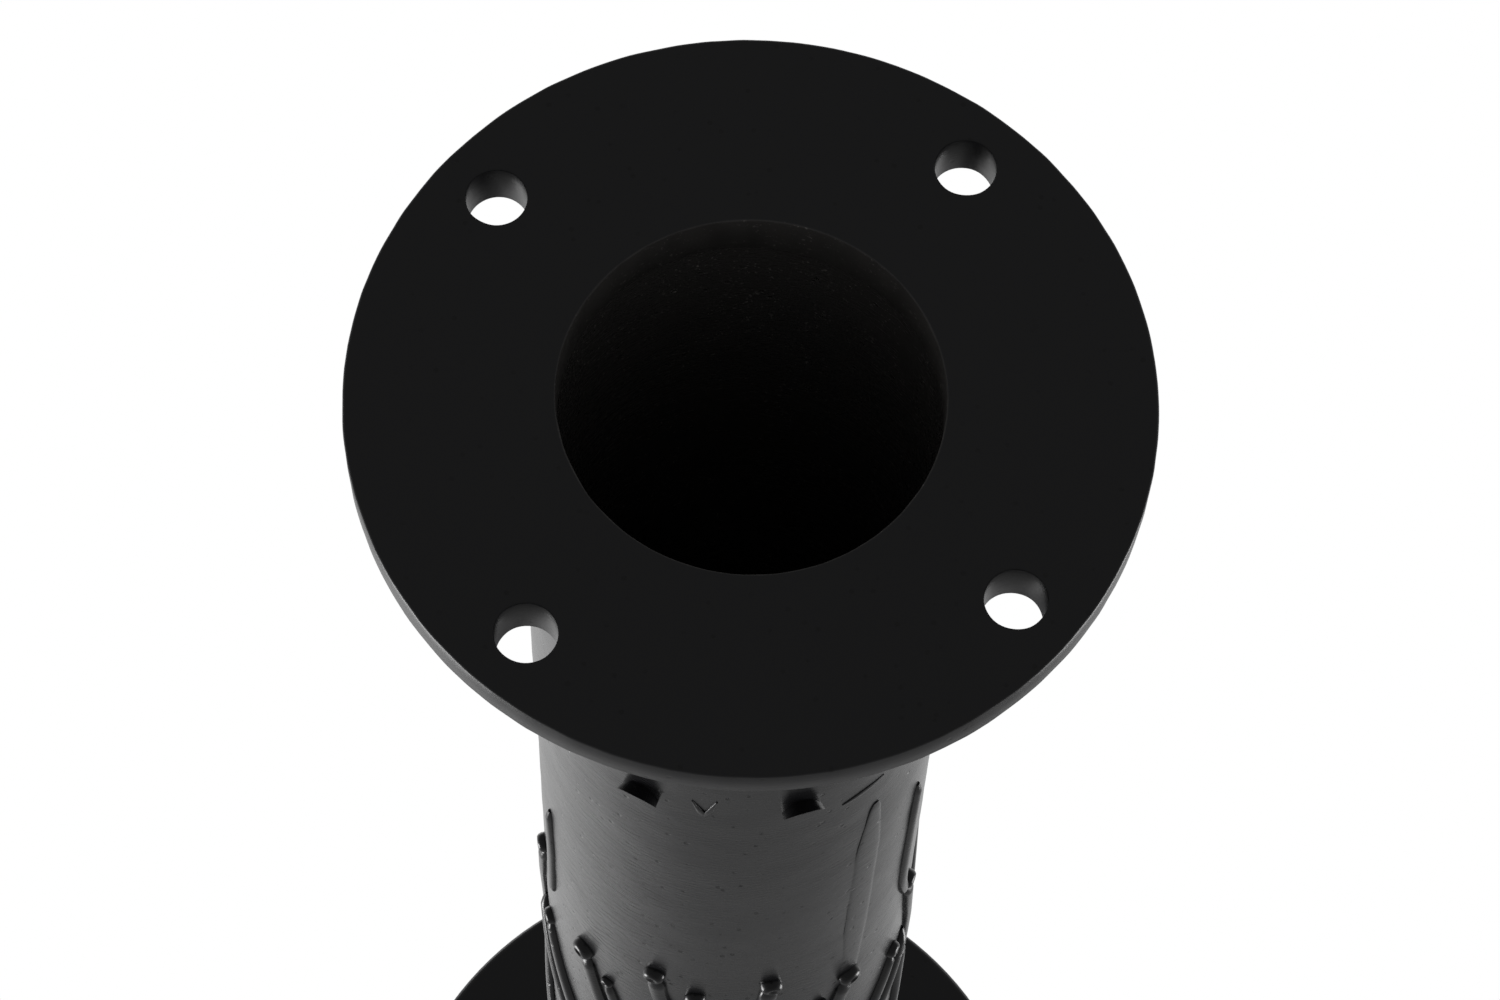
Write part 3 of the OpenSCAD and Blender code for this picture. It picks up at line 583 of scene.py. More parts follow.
def buildFlange(s):
    # bore, edge and holes are lofted from the lower face to the upper one, with softened lips
    shape = bmesh.new()
    lip, thick, edge = s["lip"], s["thick"], s["edge"]
    topRadius = s["radius"] - s["backDraft"]
    lower = addHoledFace(shape, s, 0, s["radius"] - edge, s["bore"] + lip, s["holeRadius"] + lip)
    upper = addHoledFace(shape, s, thick, topRadius - edge, s["bore"] + lip, s["holeRadius"] + lip)
    outer = [(s["radius"] - edge * 0.3, edge * 0.3), (s["radius"], edge), (s["radius"], thick * 0.62),
             (topRadius, thick - edge), (topRadius - edge * 0.3, thick - edge * 0.3)]
    walls = [(lip * 0.3, lip * 0.3), (0, lip), (0, thick * 0.5), (0, thick - lip),
             (lip * 0.3, thick - lip * 0.3)]
    for index, (low, high) in enumerate(zip(lower, upper)):
        centre = sum((v.co for v in low), Vector()) / len(low)
        wallRadius = s["bore"] if index == 1 else s["holeRadius"]
        steps = outer if index == 0 else [(out + wallRadius, height) for out, height in walls]
        rings = [low]
        for radius, height in steps:
            arms = [(v.co - centre).normalized() * radius for v in low]
            rings.append([shape.verts.new((centre.x + arm.x, centre.y + arm.y, height)) for arm in arms])
        skin(shape, [*rings, high])
    bmesh.ops.holes_fill(shape, edges=[edge for edge in shape.edges if edge.is_boundary], sides=0)
    bmesh.ops.recalc_face_normals(shape, faces=shape.faces)
    noise.seed_set(s["waverSeed"])
    for point in shape.verts:
        # a dressed edge is never quite true
        push = noise.noise_vector(point.co * s["waverScale"]) * s["waver"]
        point.co += Vector((push.x, push.y, 0))
    plate = addPiece("baseFlangePlate", shape, flangeEnamel, replaced=["base_flange"], sharp=55)
    for face in plate.data.polygons:
        face.use_smooth = abs(face.normal.z) < 0.999

buildFlange(flangeSize)
print("flange built")

# lower shaft

shaftSize = {
    "radius": 69 * mm, "bore": 62 * mm, "low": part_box("lower_shaft")[0].z, "high": top("lower_shaft"),
    "segments": 160, "rows": 190, "lump": 0.22 * mm, "lumpScale": 22,
    "boreLump": 0.5 * mm, "boreLumpScale": 90, "underCut": 0.1 * mm,
}


def buildShaft(s):
    # the tube as cast: slightly lumpy outside, rougher inside, true at both ends
    shape = bmesh.new()
    rows = [s["low"] + (s["high"] - s["low"]) * i / s["rows"] for i in range(s["rows"] + 1)]
    profile = [(s["radius"], h) for h in rows] + [(s["bore"], h) for h in reversed(rows[::2])]
    latheInto(shape, profile, s["segments"])
    for point in shape.verts:
        outside = math.hypot(point.co.x, point.co.y) > (s["radius"] + s["bore"]) / 2
        atEnd = min(point.co.z - s["low"], s["high"] - point.co.z) < 1e-5
        wave = noise.fractal(point.co * (s["lumpScale"] if outside else s["boreLumpScale"]), 0.6, 2.1, 3)
        push = 0 if atEnd else wave * (s["lump"] if outside else s["boreLump"])
        radial = Vector((point.co.x, point.co.y, 0)).normalized()
        point.co += radial * (push - (s["underCut"] if outside else 0))
    addPiece("shaftTube", shape, shaftEnamel, replaced=["lower_shaft"], sharp=50)

buildShaft(shaftSize)
print("shaft built")

# relief on the shaft

# Flat patterns in millimetres: x round the shaft from the middle of a face, y up from the floor.
# A strip is its path, its half width along it and its height; the ends taper where the widths do.
reliefLook = {
    "turn": math.radians(10.3), "sink": 0.8 * mm,
    "frontStrips": [
        {"path": [(21, 358), (19, 378), (12, 404), (5, 440), (1, 486)],
         "width": (3.6, 3.4, 3.2, 2.8, 1.6), "rise": 2.6},
        {"path": [(7, 374), (7, 392), (4, 420), (2, 452)], "width": (3.0, 3.0, 2.4, 1.0), "rise": 2.2},
        {"path": [(53, 389), (50, 404), (45, 428), (36, 462), (28, 500), (25, 540)],
         "width": (3.6, 3.4, 3.4, 3.2, 3.0, 2.0), "rise": 2.8},
        {"path": [(42, 398), (34, 436), (24, 474), (15, 510), (9, 548), (6, 600)],
         "width": (2.0, 2.8, 3.2, 3.2, 2.8, 1.4), "rise": 2.2},
        {"path": [(0, 470), (5, 505), (16, 540), (31, 560), (42, 552), (44, 536), (35, 527), (27, 534),
                  (30, 543)],
         "width": (2.4, 3.2, 3.8, 4.0, 3.8, 3.6, 3.4, 3.2, 3.0), "rise": 3.2},
        {"path": [(0, 600), (6, 636), (18, 668), (33, 684), (43, 674), (43, 658), (33, 652), (27, 661)],
         "width": (2.2, 3.0, 3.6, 3.8, 3.6, 3.4, 3.2, 3.0), "rise": 3.0},
        {"path": [(0, 700), (8, 728), (22, 748), (34, 746), (36, 734), (29, 729)],
         "width": (2.0, 3.0, 3.4, 3.4, 3.0, 2.6), "rise": 2.8},
    ],
    "frontStem": {"path": [(0, 470), (0, 520), (0, 558)], "width": (1.6, 3.0, 2.4), "rise": 2.6},
    "sideStrips": [
        {"path": [(24, 246), (25, 290), (25, 340), (20, 366)],
         "width": (1.6, 2.4, 2.8, 2.6), "rise": 1.8, "sides": (1,)},
        {"path": [(31, 292), (31, 330), (30, 378)], "width": (1.6, 2.6, 2.2), "rise": 1.8, "sides": (-1,)},
        {"path": [(11, 436), (20, 452), (32, 474), (44, 500), (54, 540)],
         "width": (2.4, 3.4, 3.6, 3.2, 1.6), "rise": 3.0},
        {"path": [(25, 426), (32, 446), (42, 470), (52, 498)], "width": (2.0, 3.2, 3.2, 1.6), "rise": 2.6},
        {"path": [(16, 372), (12, 400), (5, 440), (0, 490)], "width": (3.2, 3.2, 3.0, 1.8), "rise": 2.6},
        {"path": [(0, 490), (6, 526), (19, 556), (33, 566), (41, 554), (37, 541), (28, 543)],
         "width": (2.4, 3.2, 3.8, 3.8, 3.6, 3.2, 3.0), "rise": 3.0},
        {"path": [(0, 620), (7, 652), (19, 676), (32, 684), (39, 673), (33, 662)],
         "width": (2.2, 3.0, 3.6, 3.6, 3.2, 2.8), "rise": 2.8},
    ],
    "frontTrims": [
        {"path": [(57, 206), (56, 250), (55, 330), (54, 400)],
         "width": (2, 5.5, 5.5, 3), "rise": 0.3, "side": -1},
        {"path": [(42, 185.5), (50, 184), (59, 183)], "width": (0.9, 1.6, 1.2), "rise": 0.35, "side": -1},
        {"path": [(1, 161), (3.6, 171), (5, 175)], "width": (0.6, 1.2, 1.4), "rise": 0.6, "side": 1},
        {"path": [(9, 163), (6.2, 171), (5, 175)], "width": (0.5, 1.2, 1.4), "rise": 0.6, "side": 1},
    ],
    # knobs are (x, y, radius, rise)
    "frontKnobs": [(21.5, 353, 4.2, 3.3), (42, 396, 2.6, 2.2), (28, 536, 5.4, 4.0), (28, 657, 5.0, 3.8),
                   (30, 730, 4.4, 3.4)],
    "sideKnobs": [(17, 362, 3.8, 2.8), (25, 422, 3.6, 2.8), (31, 547, 5.0, 3.8), (35, 666, 4.6, 3.6)],
    "frontEye": (6, 367, 4.0, 3.0), "cornerKnob": (54, 382, 4.8, 3.6), "cornerDimple": 0.55,
    "boss": {"at": (27, 169), "half": 6.8, "rise": 4.6, "length": 9},
    "leaves": [{"at": (0, 556), "length": 120, "width": 22, "rise": 3.0},
               {"at": (0, 690), "length": 96, "width": 18, "rise": 2.8}],
}


def smoothPath(path, widths, step=2.4):
    # a Catmull-Rom line through the points, with its width at each place
    points = [Vector(p) for p in path]
    points = [2 * points[0] - points[1], *points, 2 * points[-1] - points[-2]]
    widths = [widths[0], *widths, widths[-1]]
    line = []
    for i in range(1, len(points) - 2):
        a, b, c, d = points[i - 1:i + 3]
        slope, bend, twist = c - a, 2 * a - 5 * b + 4 * c - d, 3 * b - a - 3 * c + d
        count = max(2, int((c - b).length / step))
        for k in range(count + (i == len(points) - 3)):
            t = k / count
            place = 0.5 * ((2 * b) + slope * t + bend * t * t + twist * t ** 3)
            line.append((place, widths[i] + (widths[i + 1] - widths[i]) * t))
    return line


def addStrip(shape, strip, side, across=8):
    # a half-round strip with closed, tapering ends, sunk a little into the surface
    line = smoothPath([(x * side, y) for x, y in strip["path"]], strip["width"])
    rings = []
    for i, (place, width) in enumerate(line):
        ahead = line[min(i + 1, len(line) - 1)][0] - line[max(i - 1, 0)][0]
        normal = Vector((-ahead.y, ahead.x)).normalized()
        fade = min(1, (i + 0.35) / 2.2, (len(line) - 0.65 - i) / 2.2) ** 0.6
        crowns = [(u, strip["rise"] * fade * (1 - u * u) ** 0.42 * mm)
                  for u in (math.cos(math.pi * k / across) for k in range(across + 1))]
        ring = []
        for u, height in crowns + [(-0.9, -reliefLook["sink"]), (0.9, -reliefLook["sink"])]:
            spot = place + normal * (u * width * (0.35 + 0.65 * fade))
            ring.append(shape.verts.new((spot.x * mm, spot.y * mm, height)))
        rings.append(ring)
    skin(shape, rings)
    shape.faces.new(rings[0])
    shape.faces.new(list(reversed(rings[-1])))


def addKnob(shape, x, y, radius, rise, dimple=0.3, segments=20):
    # a round knob with a shallow eye in its crown
    sink = -reliefLook["sink"] / mm
    profile = [(0, rise * (1 - dimple)), (radius * 0.22, rise * (1 - dimple * 0.75)), (radius * 0.42, rise),
               (radius * 0.66, rise * 0.96), (radius * 0.86, rise * 0.72), (radius * 0.97, rise * 0.36),
               (radius, 0), (radius * 0.98, sink), (0, sink)]

    def place(out, height, a):
        return (x + out * math.cos(a)) * mm, (y + out * math.sin(a)) * mm, height * mm
    latheInto(shape, profile, segments, place, loop=False)


def addBoss(shape, side, s):
    # a tongue that stands off the shaft: blunt, faceted end below, fading into the surface above
    x, y = s["at"][0] * side, s["at"][1]
    sink, rise = reliefLook["sink"], s["rise"] * mm

    def row(spread, slant, up, middle, ends):
        # four points across; the middle pair and the end pair have heights of their own
        return [shape.verts.new(((x + s["half"] * u * spread) * mm, (y + slant * v + up) * mm,
                                 middle if abs(u) < 0.9 else ends))
                for u, v in ((-1, 0.3), (-0.5, -0.5), (0.5, -0.5), (1, 0.3))]
    low = row(1, 8, 0, rise * 0.98, rise * 0.62)
    foot = row(0.96, 8, 1.2, -sink, -sink)
    tip = row(0.42, 0, s["length"], -sink * 0.9, -sink * 0.9)
    middle = row(0.92, 0, s["length"] * 0.36, rise * 0.5, rise * 0.2)
    tipFoot = row(0.42, 0, s["length"], -sink * 1.3, -sink * 1.3)
    skin(shape, [foot, low, middle, tip, tipFoot, foot], loop=False)
    for k in (0, 3):
        shape.faces.new((foot[k], low[k], middle[k], tip[k], tipFoot[k]))


def addLeaf(shape, leaf, columns=10, rows=22):
    # a lobed, domed leaf with a middle vein that points up
    x0, y0 = leaf["at"]
    grid = []
    for i in range(rows + 1):
        t = i / rows
        lobes = 1 + 0.16 * math.sin(t * 34)
        spread = leaf["width"] * math.sin(math.pi * min(1, t * 0.93 + 0.07)) ** 0.75 * lobes * (1 - 0.35 * t)
        row = []
        for k in range(columns + 1):
            u = 2 * k / columns - 1
            crown = leaf["rise"] * (1 - u * u) ** 0.5 * math.sin(math.pi * min(1, t + 0.02)) ** 0.5
            vein = 0.8 * max(0, 1 - abs(u) * 6) + 0.35 * math.sin(t * 34 - abs(u) * 5) * (1 - abs(u))
            height = (crown + vein * (crown > 0.3)) * mm if abs(u) < 1 else -reliefLook["sink"]
            x, y = x0 + u * spread, y0 + leaf["length"] * t + 6 * abs(u) * (1 - t)
            row.append(shape.verts.new((x * mm, y * mm, height)))
        grid.append(row)
    under = [[shape.verts.new((v.co.x, v.co.y, -1.4 * reliefLook["sink"])) for v in row] for row in grid]
    skin(shape, grid, loop=False)
    skin(shape, under, loop=False, flip=True)
    rim = [(i, 0) for i in range(rows)] + [(rows, k) for k in range(columns)]
    rim += [(i, columns) for i in range(rows, 0, -1)] + [(0, k) for k in range(columns, 0, -1)]
    for a, b in zip(rim, rim[1:] + rim[:1]):
        shape.faces.new((grid[a[0]][a[1]], grid[b[0]][b[1]], under[b[0]][b[1]], under[a[0]][a[1]]))


def reliefPattern(face):
    shape = bmesh.new()
    look = reliefLook
    for side in (-1, 1):
        for strip in look[face + "Strips"]:
            if side in strip.get("sides", (-1, 1)):
                addStrip(shape, strip, side)
        for x, y, radius, rise in look[face + "Knobs"]:
            addKnob(shape, x * side, y, radius, rise)
    if face == "front":
        addKnob(shape, *look["frontEye"])
        addStrip(shape, look["frontStem"], 1)
        for side in (1, -1):
            addBoss(shape, side, look["boss"])
        for strip in look["frontTrims"]:
            addStrip(shape, strip, strip["side"])
        for side in (-1, 1):
            addKnob(shape, look["cornerKnob"][0] * side, *look["cornerKnob"][1:], dimple=look["cornerDimple"])
    for leaf in look["leaves"]:
        addLeaf(shape, leaf)
    return shape

for face, start in (("front", -90), ("side", 0)):
    wrapped = grow(wrapTree, reliefPattern(face), {
        "Radius": shaftSize["radius"], "Start": reliefLook["turn"] + math.radians(start),
        "Count": 2, "Finish": shaftEnamel})
    addPiece(face + "Relief", wrapped, shaftEnamel, replaced=["shaft_relief"], sharp=60)
print("relief built")

# fasteners


def facing(side):
    # places a profile of (radius, depth) round the head's axis; side is -1 for the front
    return lambda radius, depth, a: (radius * math.cos(a), side * depth, headHeight + radius * math.sin(a))


def addHex(shape, across, low, high, chamfer=0.13):
    # a hexagon nut or head with its corners turned off at both ends
    corner = across / math.sqrt(3)
    cut = corner * chamfer
    profile = [(0, low), (corner - cut, low), (corner, low + cut * 0.5), (corner, high - cut * 0.5),
               (corner - cut, high), (0, high)]
    latheInto(shape, profile, 6, loop=False)


def addRound(shape, radius, low, high, soft=0.0004, segments=28):
    latheInto(shape, [(0, low), (radius - soft, low), (radius, low + soft), (radius, high - soft),
                      (radius - soft, high), (0, high)], segments, loop=False)


def threadedEnd(shape, radius, low, high, pitch=0.00175):
    # a bolt's end, its thread cut as close grooves
    profile, turns = [(0, low), (radius * 0.72, low)], int((high - low) / pitch)
    for i in range(turns):
        profile += [(radius, low + (i + 0.4) * pitch), (radius * 0.9, low + (i + 0.9) * pitch)]
    latheInto(shape, profile + [(radius * 0.9, high), (0, high)], 24, loop=False)


collarBoltSize = {
    "count": 4, "circle": 121 * mm, "across": 20.5 * mm, "head": 8 * mm, "shank": 6 * mm, "nut": 10 * mm,
    "nutAcross": 0.92, "washer": 12.8 * mm, "washerThick": 1.6 * mm, "gap": 0.1 * mm,
}


def buildCollarBolts(s):
    # bolt heads on their washers above the collar, nuts and thread ends below it
    plateTop, nutFace = top("collar_bolts") - s["head"], top("collar_nuts")
    shape = bmesh.new()
    addRound(shape, s["washer"], plateTop + s["gap"], plateTop + s["washerThick"])
    addHex(shape, s["across"], plateTop + s["washerThick"], top("collar_bolts"))
    threadedEnd(shape, s["shank"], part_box("collar_bolts")[0].z, nutFace - s["nut"] + 2 * s["gap"])
    bolts = ringOf(shape, s["count"], s["circle"], zincSteel)
    addPiece("collarBoltHeads", bolts, zincSteel, post, ["collar_bolts"])
    shape = bmesh.new()
    addHex(shape, s["across"] * s["nutAcross"], nutFace - s["nut"], nutFace - s["washerThick"])
    addRound(shape, s["washer"], nutFace - s["washerThick"], nutFace - s["gap"])
    nuts = ringOf(shape, s["count"], s["circle"], zincSteel)
    addPiece("collarNuts", nuts, zincSteel, post, ["collar_nuts"])


weldSize = {
    "radius": 69 * mm, "leg": 6 * mm, "ripples": 150, "ripple": 0.25 * mm, "segments": 900,
    "inset": 0.0005, "sink": 0.0003,
}


def buildWeld(s):
    # the fillet of weld metal round the foot of the shaft, with the ripple of each puddle
    shape, low, leg = bmesh.new(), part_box("base_weld")[0].z, s["leg"]

    def place(radius, height, a):
        swell = math.sin(a * s["ripples"] + 0.6 * math.sin(a * 7)) * s["ripple"] * (height > low + 0.0005)
        reach = radius + swell
        return reach * math.cos(a), reach * math.sin(a), height + swell * 0.6
    fillet = [(-s["inset"], -s["sink"]), (leg, -s["sink"]), (leg * 0.97, 0.0004), (leg * 0.66, leg * 0.36),
              (leg * 0.32, leg * 0.68), (0.0003, leg * 0.97), (-s["inset"], leg)]
    latheInto(shape, [(s["radius"] + out, low + up) for out, up in fillet], s["segments"], place)
    addPiece("weldBead", shape, flangeEnamel, replaced=["base_weld"], sharp=70)


buildCollarBolts(collarBoltSize)
buildWeld(weldSize)
print("fasteners built")

# cast leaves and beads


def addCastLeaf(shape, s, rows=18, columns=12):
    # a lobed leaf that rises along +Z and curls out along +X, with a rolled tip and a middle vein
    front, back = [], []
    for i in range(rows + 1):
        t = i / rows
        curl = max(0, (t - 0.72) / 0.28)
        lean = s["foot"] + (s["tip"] - s["foot"]) * t ** s["power"]
        out = lean + s["roll"] * math.sin(curl * math.pi * 0.75)
        rise = s["length"] * (t - 0.12 * curl * curl)
        lobes = 1 + 0.13 * math.sin(t * s["lobes"] * math.pi)
        belly = 0.55 + 0.45 * math.sin(math.pi * min(1, t * 1.25))
        half = s["width"] / 2 * lobes * belly * (1 - curl ** 2 * 0.72)
        rowFront, rowBack = [], []
        for k in range(columns + 1):
            u = 2 * k / columns - 1
            ripple = 0.4 * math.cos(t * s["lobes"] * math.pi + abs(u) * 5) * abs(u)
            vein = s["vein"] * (math.exp(-(u * 5) ** 2) + ripple)
            cup = s["cup"] * u * u
            rowFront.append(shape.verts.new((out + s["thick"] + vein - cup, half * u, s["low"] + rise)))
            rowBack.append(shape.verts.new((out - cup * 0.9, half * u, s["low"] + rise - curl * s["thick"])))
        front.append(rowFront)
        back.append(rowBack)
    for i in range(rows):
        for k in range(columns):
            shape.faces.new((front[i][k], front[i][k + 1], front[i + 1][k + 1], front[i + 1][k]))
            shape.faces.new((back[i][k], back[i + 1][k], back[i + 1][k + 1], back[i][k + 1]))
        for k in (0, columns):
            corners = (front[i][k], front[i + 1][k], back[i + 1][k], back[i][k])
            shape.faces.new(corners if k == 0 else corners[::-1])
    for i in (0, rows):
        for k in range(columns):
            corners = (front[i][k], back[i][k], back[i][k + 1], front[i][k + 1])
            shape.faces.new(corners if i == 0 else corners[::-1])


capitalLow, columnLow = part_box("capital")[0].z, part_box("fluted_column")[0].z
leafRings = [
    {"name": "capitalLeaves", "count": 8, "low": capitalLow + 12 * mm, "length": 70 * mm, "width": 40 * mm,
     "foot": 44 * mm, "tip": 63 * mm, "power": 1.0, "roll": 12 * mm, "thick": 3 * mm, "vein": 2.2 * mm,
     "cup": 5 * mm, "lobes": 7, "turn": 0.0},
    {"name": "capitalLowLeaves", "count": 8, "low": capitalLow + 10 * mm, "length": 42 * mm, "width": 31 * mm,
     "foot": 47 * mm, "tip": 56.5 * mm, "power": 1.0, "roll": 8 * mm, "thick": 2.6 * mm, "vein": 1.8 * mm,
     "cup": 4 * mm, "lobes": 6, "turn": math.pi / 8},
    {"name": "columnFootLeaves", "count": 12, "low": columnLow - 10 * mm, "length": 58 * mm, "width": 25 * mm,
     "foot": 52.4 * mm, "tip": 51.6 * mm, "power": 1.6, "roll": 5 * mm, "thick": 2.8 * mm, "vein": 1.4 * mm,
     "cup": 2.6 * mm, "lobes": 5, "turn": math.pi / 12},
]
pearlRings = [
    {"name": "footPearls", "count": 48, "circle": 97 * mm, "height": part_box("column_foot")[0].z + 14 * mm,
     "radius": 3.4 * mm},
    {"name": "capitalPearls", "count": 44, "circle": 86 * mm, "height": top("capital") - 7 * mm,
     "radius": 3.2 * mm},
]


def buildLeafRing(s):
    shape = bmesh.new()
    addCastLeaf(shape, s)
    addPiece(s["name"], ringOf(shape, s["count"], 0.0, caseEnamel, s["turn"]), sharp=75)


def buildPearlRing(s):
    # a ring of half-sunk beads round the post
    shape = bmesh.new()
    bmesh.ops.create_uvsphere(shape, u_segments=14, v_segments=10, radius=s["radius"])
    addPiece(s["name"], ringOf(shape, s["count"], s["circle"], caseEnamel, Centre=(0, 0, s["height"])))


for s in leafRings:
    buildLeafRing(s)
for s in pearlRings:
    buildPearlRing(s)
print("leaves built")

# case, doors and dials

doorBody = {-1: "front_door", 1: "rear_door"}
sideName = {-1: "front", 1: "rear"}
drumSize = {
    "radius": 300 * mm, "sink": 0.4 * mm, "bandLow": 66.5 * mm, "bandHigh": 79 * mm, "bandRise": 3.2 * mm,
    "bandRound": 2.2 * mm, "segments": 200, "rivets": 44, "rivet": 4.6 * mm, "rivetRise": 2.4 * mm,
}
doorSize = {
    "face": 106.4 * mm, "sink": 0.4 * mm, "beadLow": 254.5 * mm, "beadHigh": 264 * mm, "beadRise": 3.6 * mm,
    "innerRound": 2.6 * mm, "outerRound": 3.4 * mm, "segments": 200,
    "pearls": 72, "pearl": 4.6 * mm, "pearlCircle": 284 * mm, "pearlDepth": 101.2 * mm,
}


def ringOnHead(shape, side, depth, count, radius, finish, start=0.0):
    # repeats an item round the head's axis; the item's own +Z looks out of the dial
    return ringOf(shape, count, radius, finish, start,
                  Tilt=(-side * math.pi / 2, 0, 0), Centre=(0, side * depth, headHeight))


def addRivet(shape, radius, rise, segments=18):
    # a domed head that stands out along +X
    profile = [(0, rise), (radius * 0.5, rise * 0.88), (radius * 0.85, rise * 0.5), (radius, 0),
               (radius, -rise * 0.4), (0, -rise * 0.4)]
    latheInto(shape, profile, segments, lambda r, h, a: (h, r * math.cos(a), r * math.sin(a)), loop=False)


def buildDrumTrim(s):
    # a rounded hoop near each end of the drum, with rivets on it
    low, high = s["radius"] - s["sink"], s["radius"] + s["bandRise"]
    for side in (-1, 1):
        shape = bmesh.new()
        hoop = rounded([(low, s["bandLow"], 0), (high, s["bandLow"]), (high, s["bandHigh"]),
                        (low, s["bandHigh"], 0)], s["bandRound"])
        latheInto(shape, hoop, s["segments"], facing(side))
        addPiece(sideName[side] + "DrumHoop", shape)
        shape = bmesh.new()
        addRivet(shape, s["rivet"], s["rivetRise"])
        middle = (s["bandLow"] + s["bandHigh"]) / 2
        rivets = ringOnHead(shape, side, middle, s["rivets"], high, caseEnamel, math.pi / s["rivets"])
        addPiece(sideName[side] + "DrumRivets", rivets)


def buildDoorTrim(s):
    # a bead round each sight opening and a ring of pearls on the bezel
    low, high = s["face"] - s["sink"], s["face"] + s["beadRise"]
    for side in (-1, 1):
        shape = bmesh.new()
        bead = rounded([(s["beadLow"], low, 0), (s["beadLow"], high, s["innerRound"]),
                        (s["beadHigh"], high, s["outerRound"]), (s["beadHigh"], low, 0)], 0, 5)
        latheInto(shape, bead, s["segments"], facing(side))
        addPiece(sideName[side] + "SightBead", shape, body=doorBody[side])
        shape = bmesh.new()
        bmesh.ops.create_uvsphere(shape, u_segments=14, v_segments=10, radius=s["pearl"])
        pearls = ringOnHead(shape, side, s["pearlDepth"], s["pearls"], s["pearlCircle"], caseEnamel)
        addPiece(sideName[side] + "DoorPearls", pearls, body=doorBody[side])


dialSize = {
    "face": 58.5 * mm, "sink": 0.2 * mm, "lift": 0.35 * mm, "numeralFoot": 176 * mm, "line": 1.1 * mm,
    "trackOut": 243 * mm, "trackIn": 229 * mm, "innerRing": 168 * mm, "segments": 180,
    "minuteBar": (5.5 * mm, 1.3 * mm), "hourBar": (11 * mm, 3.6 * mm), "flare": 1.3,
}
numerals = ("I", "II", "III", "IV", "V", "VI", "VII", "VIII", "IX", "X", "XI", "XII")
letterLook = {"I": 11.0, "V": 27.0, "X": 25.0, "thick": 6.6, "thin": 1.8, "serif": 1.7, "height": 42.0}


def addPrint(name, mesh):
    # a black mark on a dial
    addPiece(name, mesh, handEnamel, post, sharp=20)


def addPrism(shape, outline, low, high, place):
    # an outline between two depths
    near = [shape.verts.new(place(u, v, low)) for u, v in outline]
    far = [shape.verts.new(place(u, v, high)) for u, v in outline]
    shape.faces.new(near)
    shape.faces.new(far[::-1])
    skin(shape, [near, far])


def letterStrokes(letter, x, s):
    # slanted bars of a numeral's letter, as outlines that start at x
    wide, high = s[letter], s["height"]
    if letter == "I":
        left = x + (wide - s["thick"]) / 2
        return [[(left, 0), (left + s["thick"], 0), (left + s["thick"], high), (left, high)]]
    foot = {"V": (x + wide / 2 - 1, x + wide / 2 - 1), "X": (x + wide - s["thick"] - 3, x + 3)}[letter]
    strokes = []
    for start, end, width in ((x + 3, foot[0], s["thick"]), (x + wide - s["thin"] - 4, foot[1], s["thin"])):
        shift = (s["thick"] - s["thin"]) / 2 if letter == "V" and width == s["thick"] else 0
        strokes.append([(end - shift, 0), (end - shift + width, 0), (start + width, high), (start, high)])
    return strokes


def buildNumerals(s, look):
    for side in (-1, 1):
        shape = bmesh.new()
        for index, text in enumerate(numerals):
            turn = -math.radians(30) * (index + 1)
            wide = sum(look[letter] for letter in text)
            outlines, x = [], -wide / 2
            for letter in text:
                outlines += letterStrokes(letter, x, look)
                x += look[letter]
            for v in (0, look["height"] - look["serif"]):
                outlines.append([(wide / 2 * u, v + up * look["serif"])
                                 for u, up in ((-1, 0), (1, 0), (1, 1), (-1, 1))])

            def place(u, v, depth):
                u, v = u * mm, v * mm + s["numeralFoot"]
                across = u * math.cos(turn) - v * math.sin(turn)
                up = u * math.sin(turn) + v * math.cos(turn)
                return -side * across, side * depth, headHeight + up
            for outline in outlines:
                addPrism(shape, outline, s["face"] - s["sink"], s["face"] + s["lift"], place)
        addPrint(sideName[side] + "Numerals", shape)


def buildMinuteTrack(s):
    # three printed rings, and the minute and hour bars between the outer two
    low, high = s["face"] - s["sink"], s["face"] + s["lift"]
    middle = (s["trackIn"] + s["trackOut"] + s["line"]) / 2
    bars = (("MinuteBars", 60, s["minuteBar"]), ("HourBars", 12, s["hourBar"]))
    for side in (-1, 1):
        shape = bmesh.new()
        for inner in (s["trackIn"], s["trackOut"], s["innerRing"]):
            outer = inner + s["line"]
            ring = [(inner, low), (outer, low), (outer, high), (inner, high)]
            latheInto(shape, ring, s["segments"], facing(side))
        addPrint(sideName[side] + "TrackRings", shape)
        for name, count, (length, width) in bars:
            shape = bmesh.new()
            reach, half = length / 2, width / 2
            flared = half * s["flare"]
            outline = [(-reach, -half), (reach, -flared), (reach, flared), (-reach, half)]
            addPrism(shape, outline, -s["sink"], s["lift"], lambda u, v, w: (u, v, w))
            ring = ringOnHead(shape, side, s["face"], count, middle, handEnamel)
            addPrint(sideName[side] + name, ring)

buildDrumTrim(drumSize)
buildDoorTrim(doorSize)
buildNumerals(dialSize, letterLook)
buildMinuteTrack(dialSize)
print("case and dials built")

# hands' caps, scroll rosettes, saddle and finial trim

capSize = {"low": 74 * mm, "high": 80.5 * mm, "radius": 10 * mm, "segments": 40}


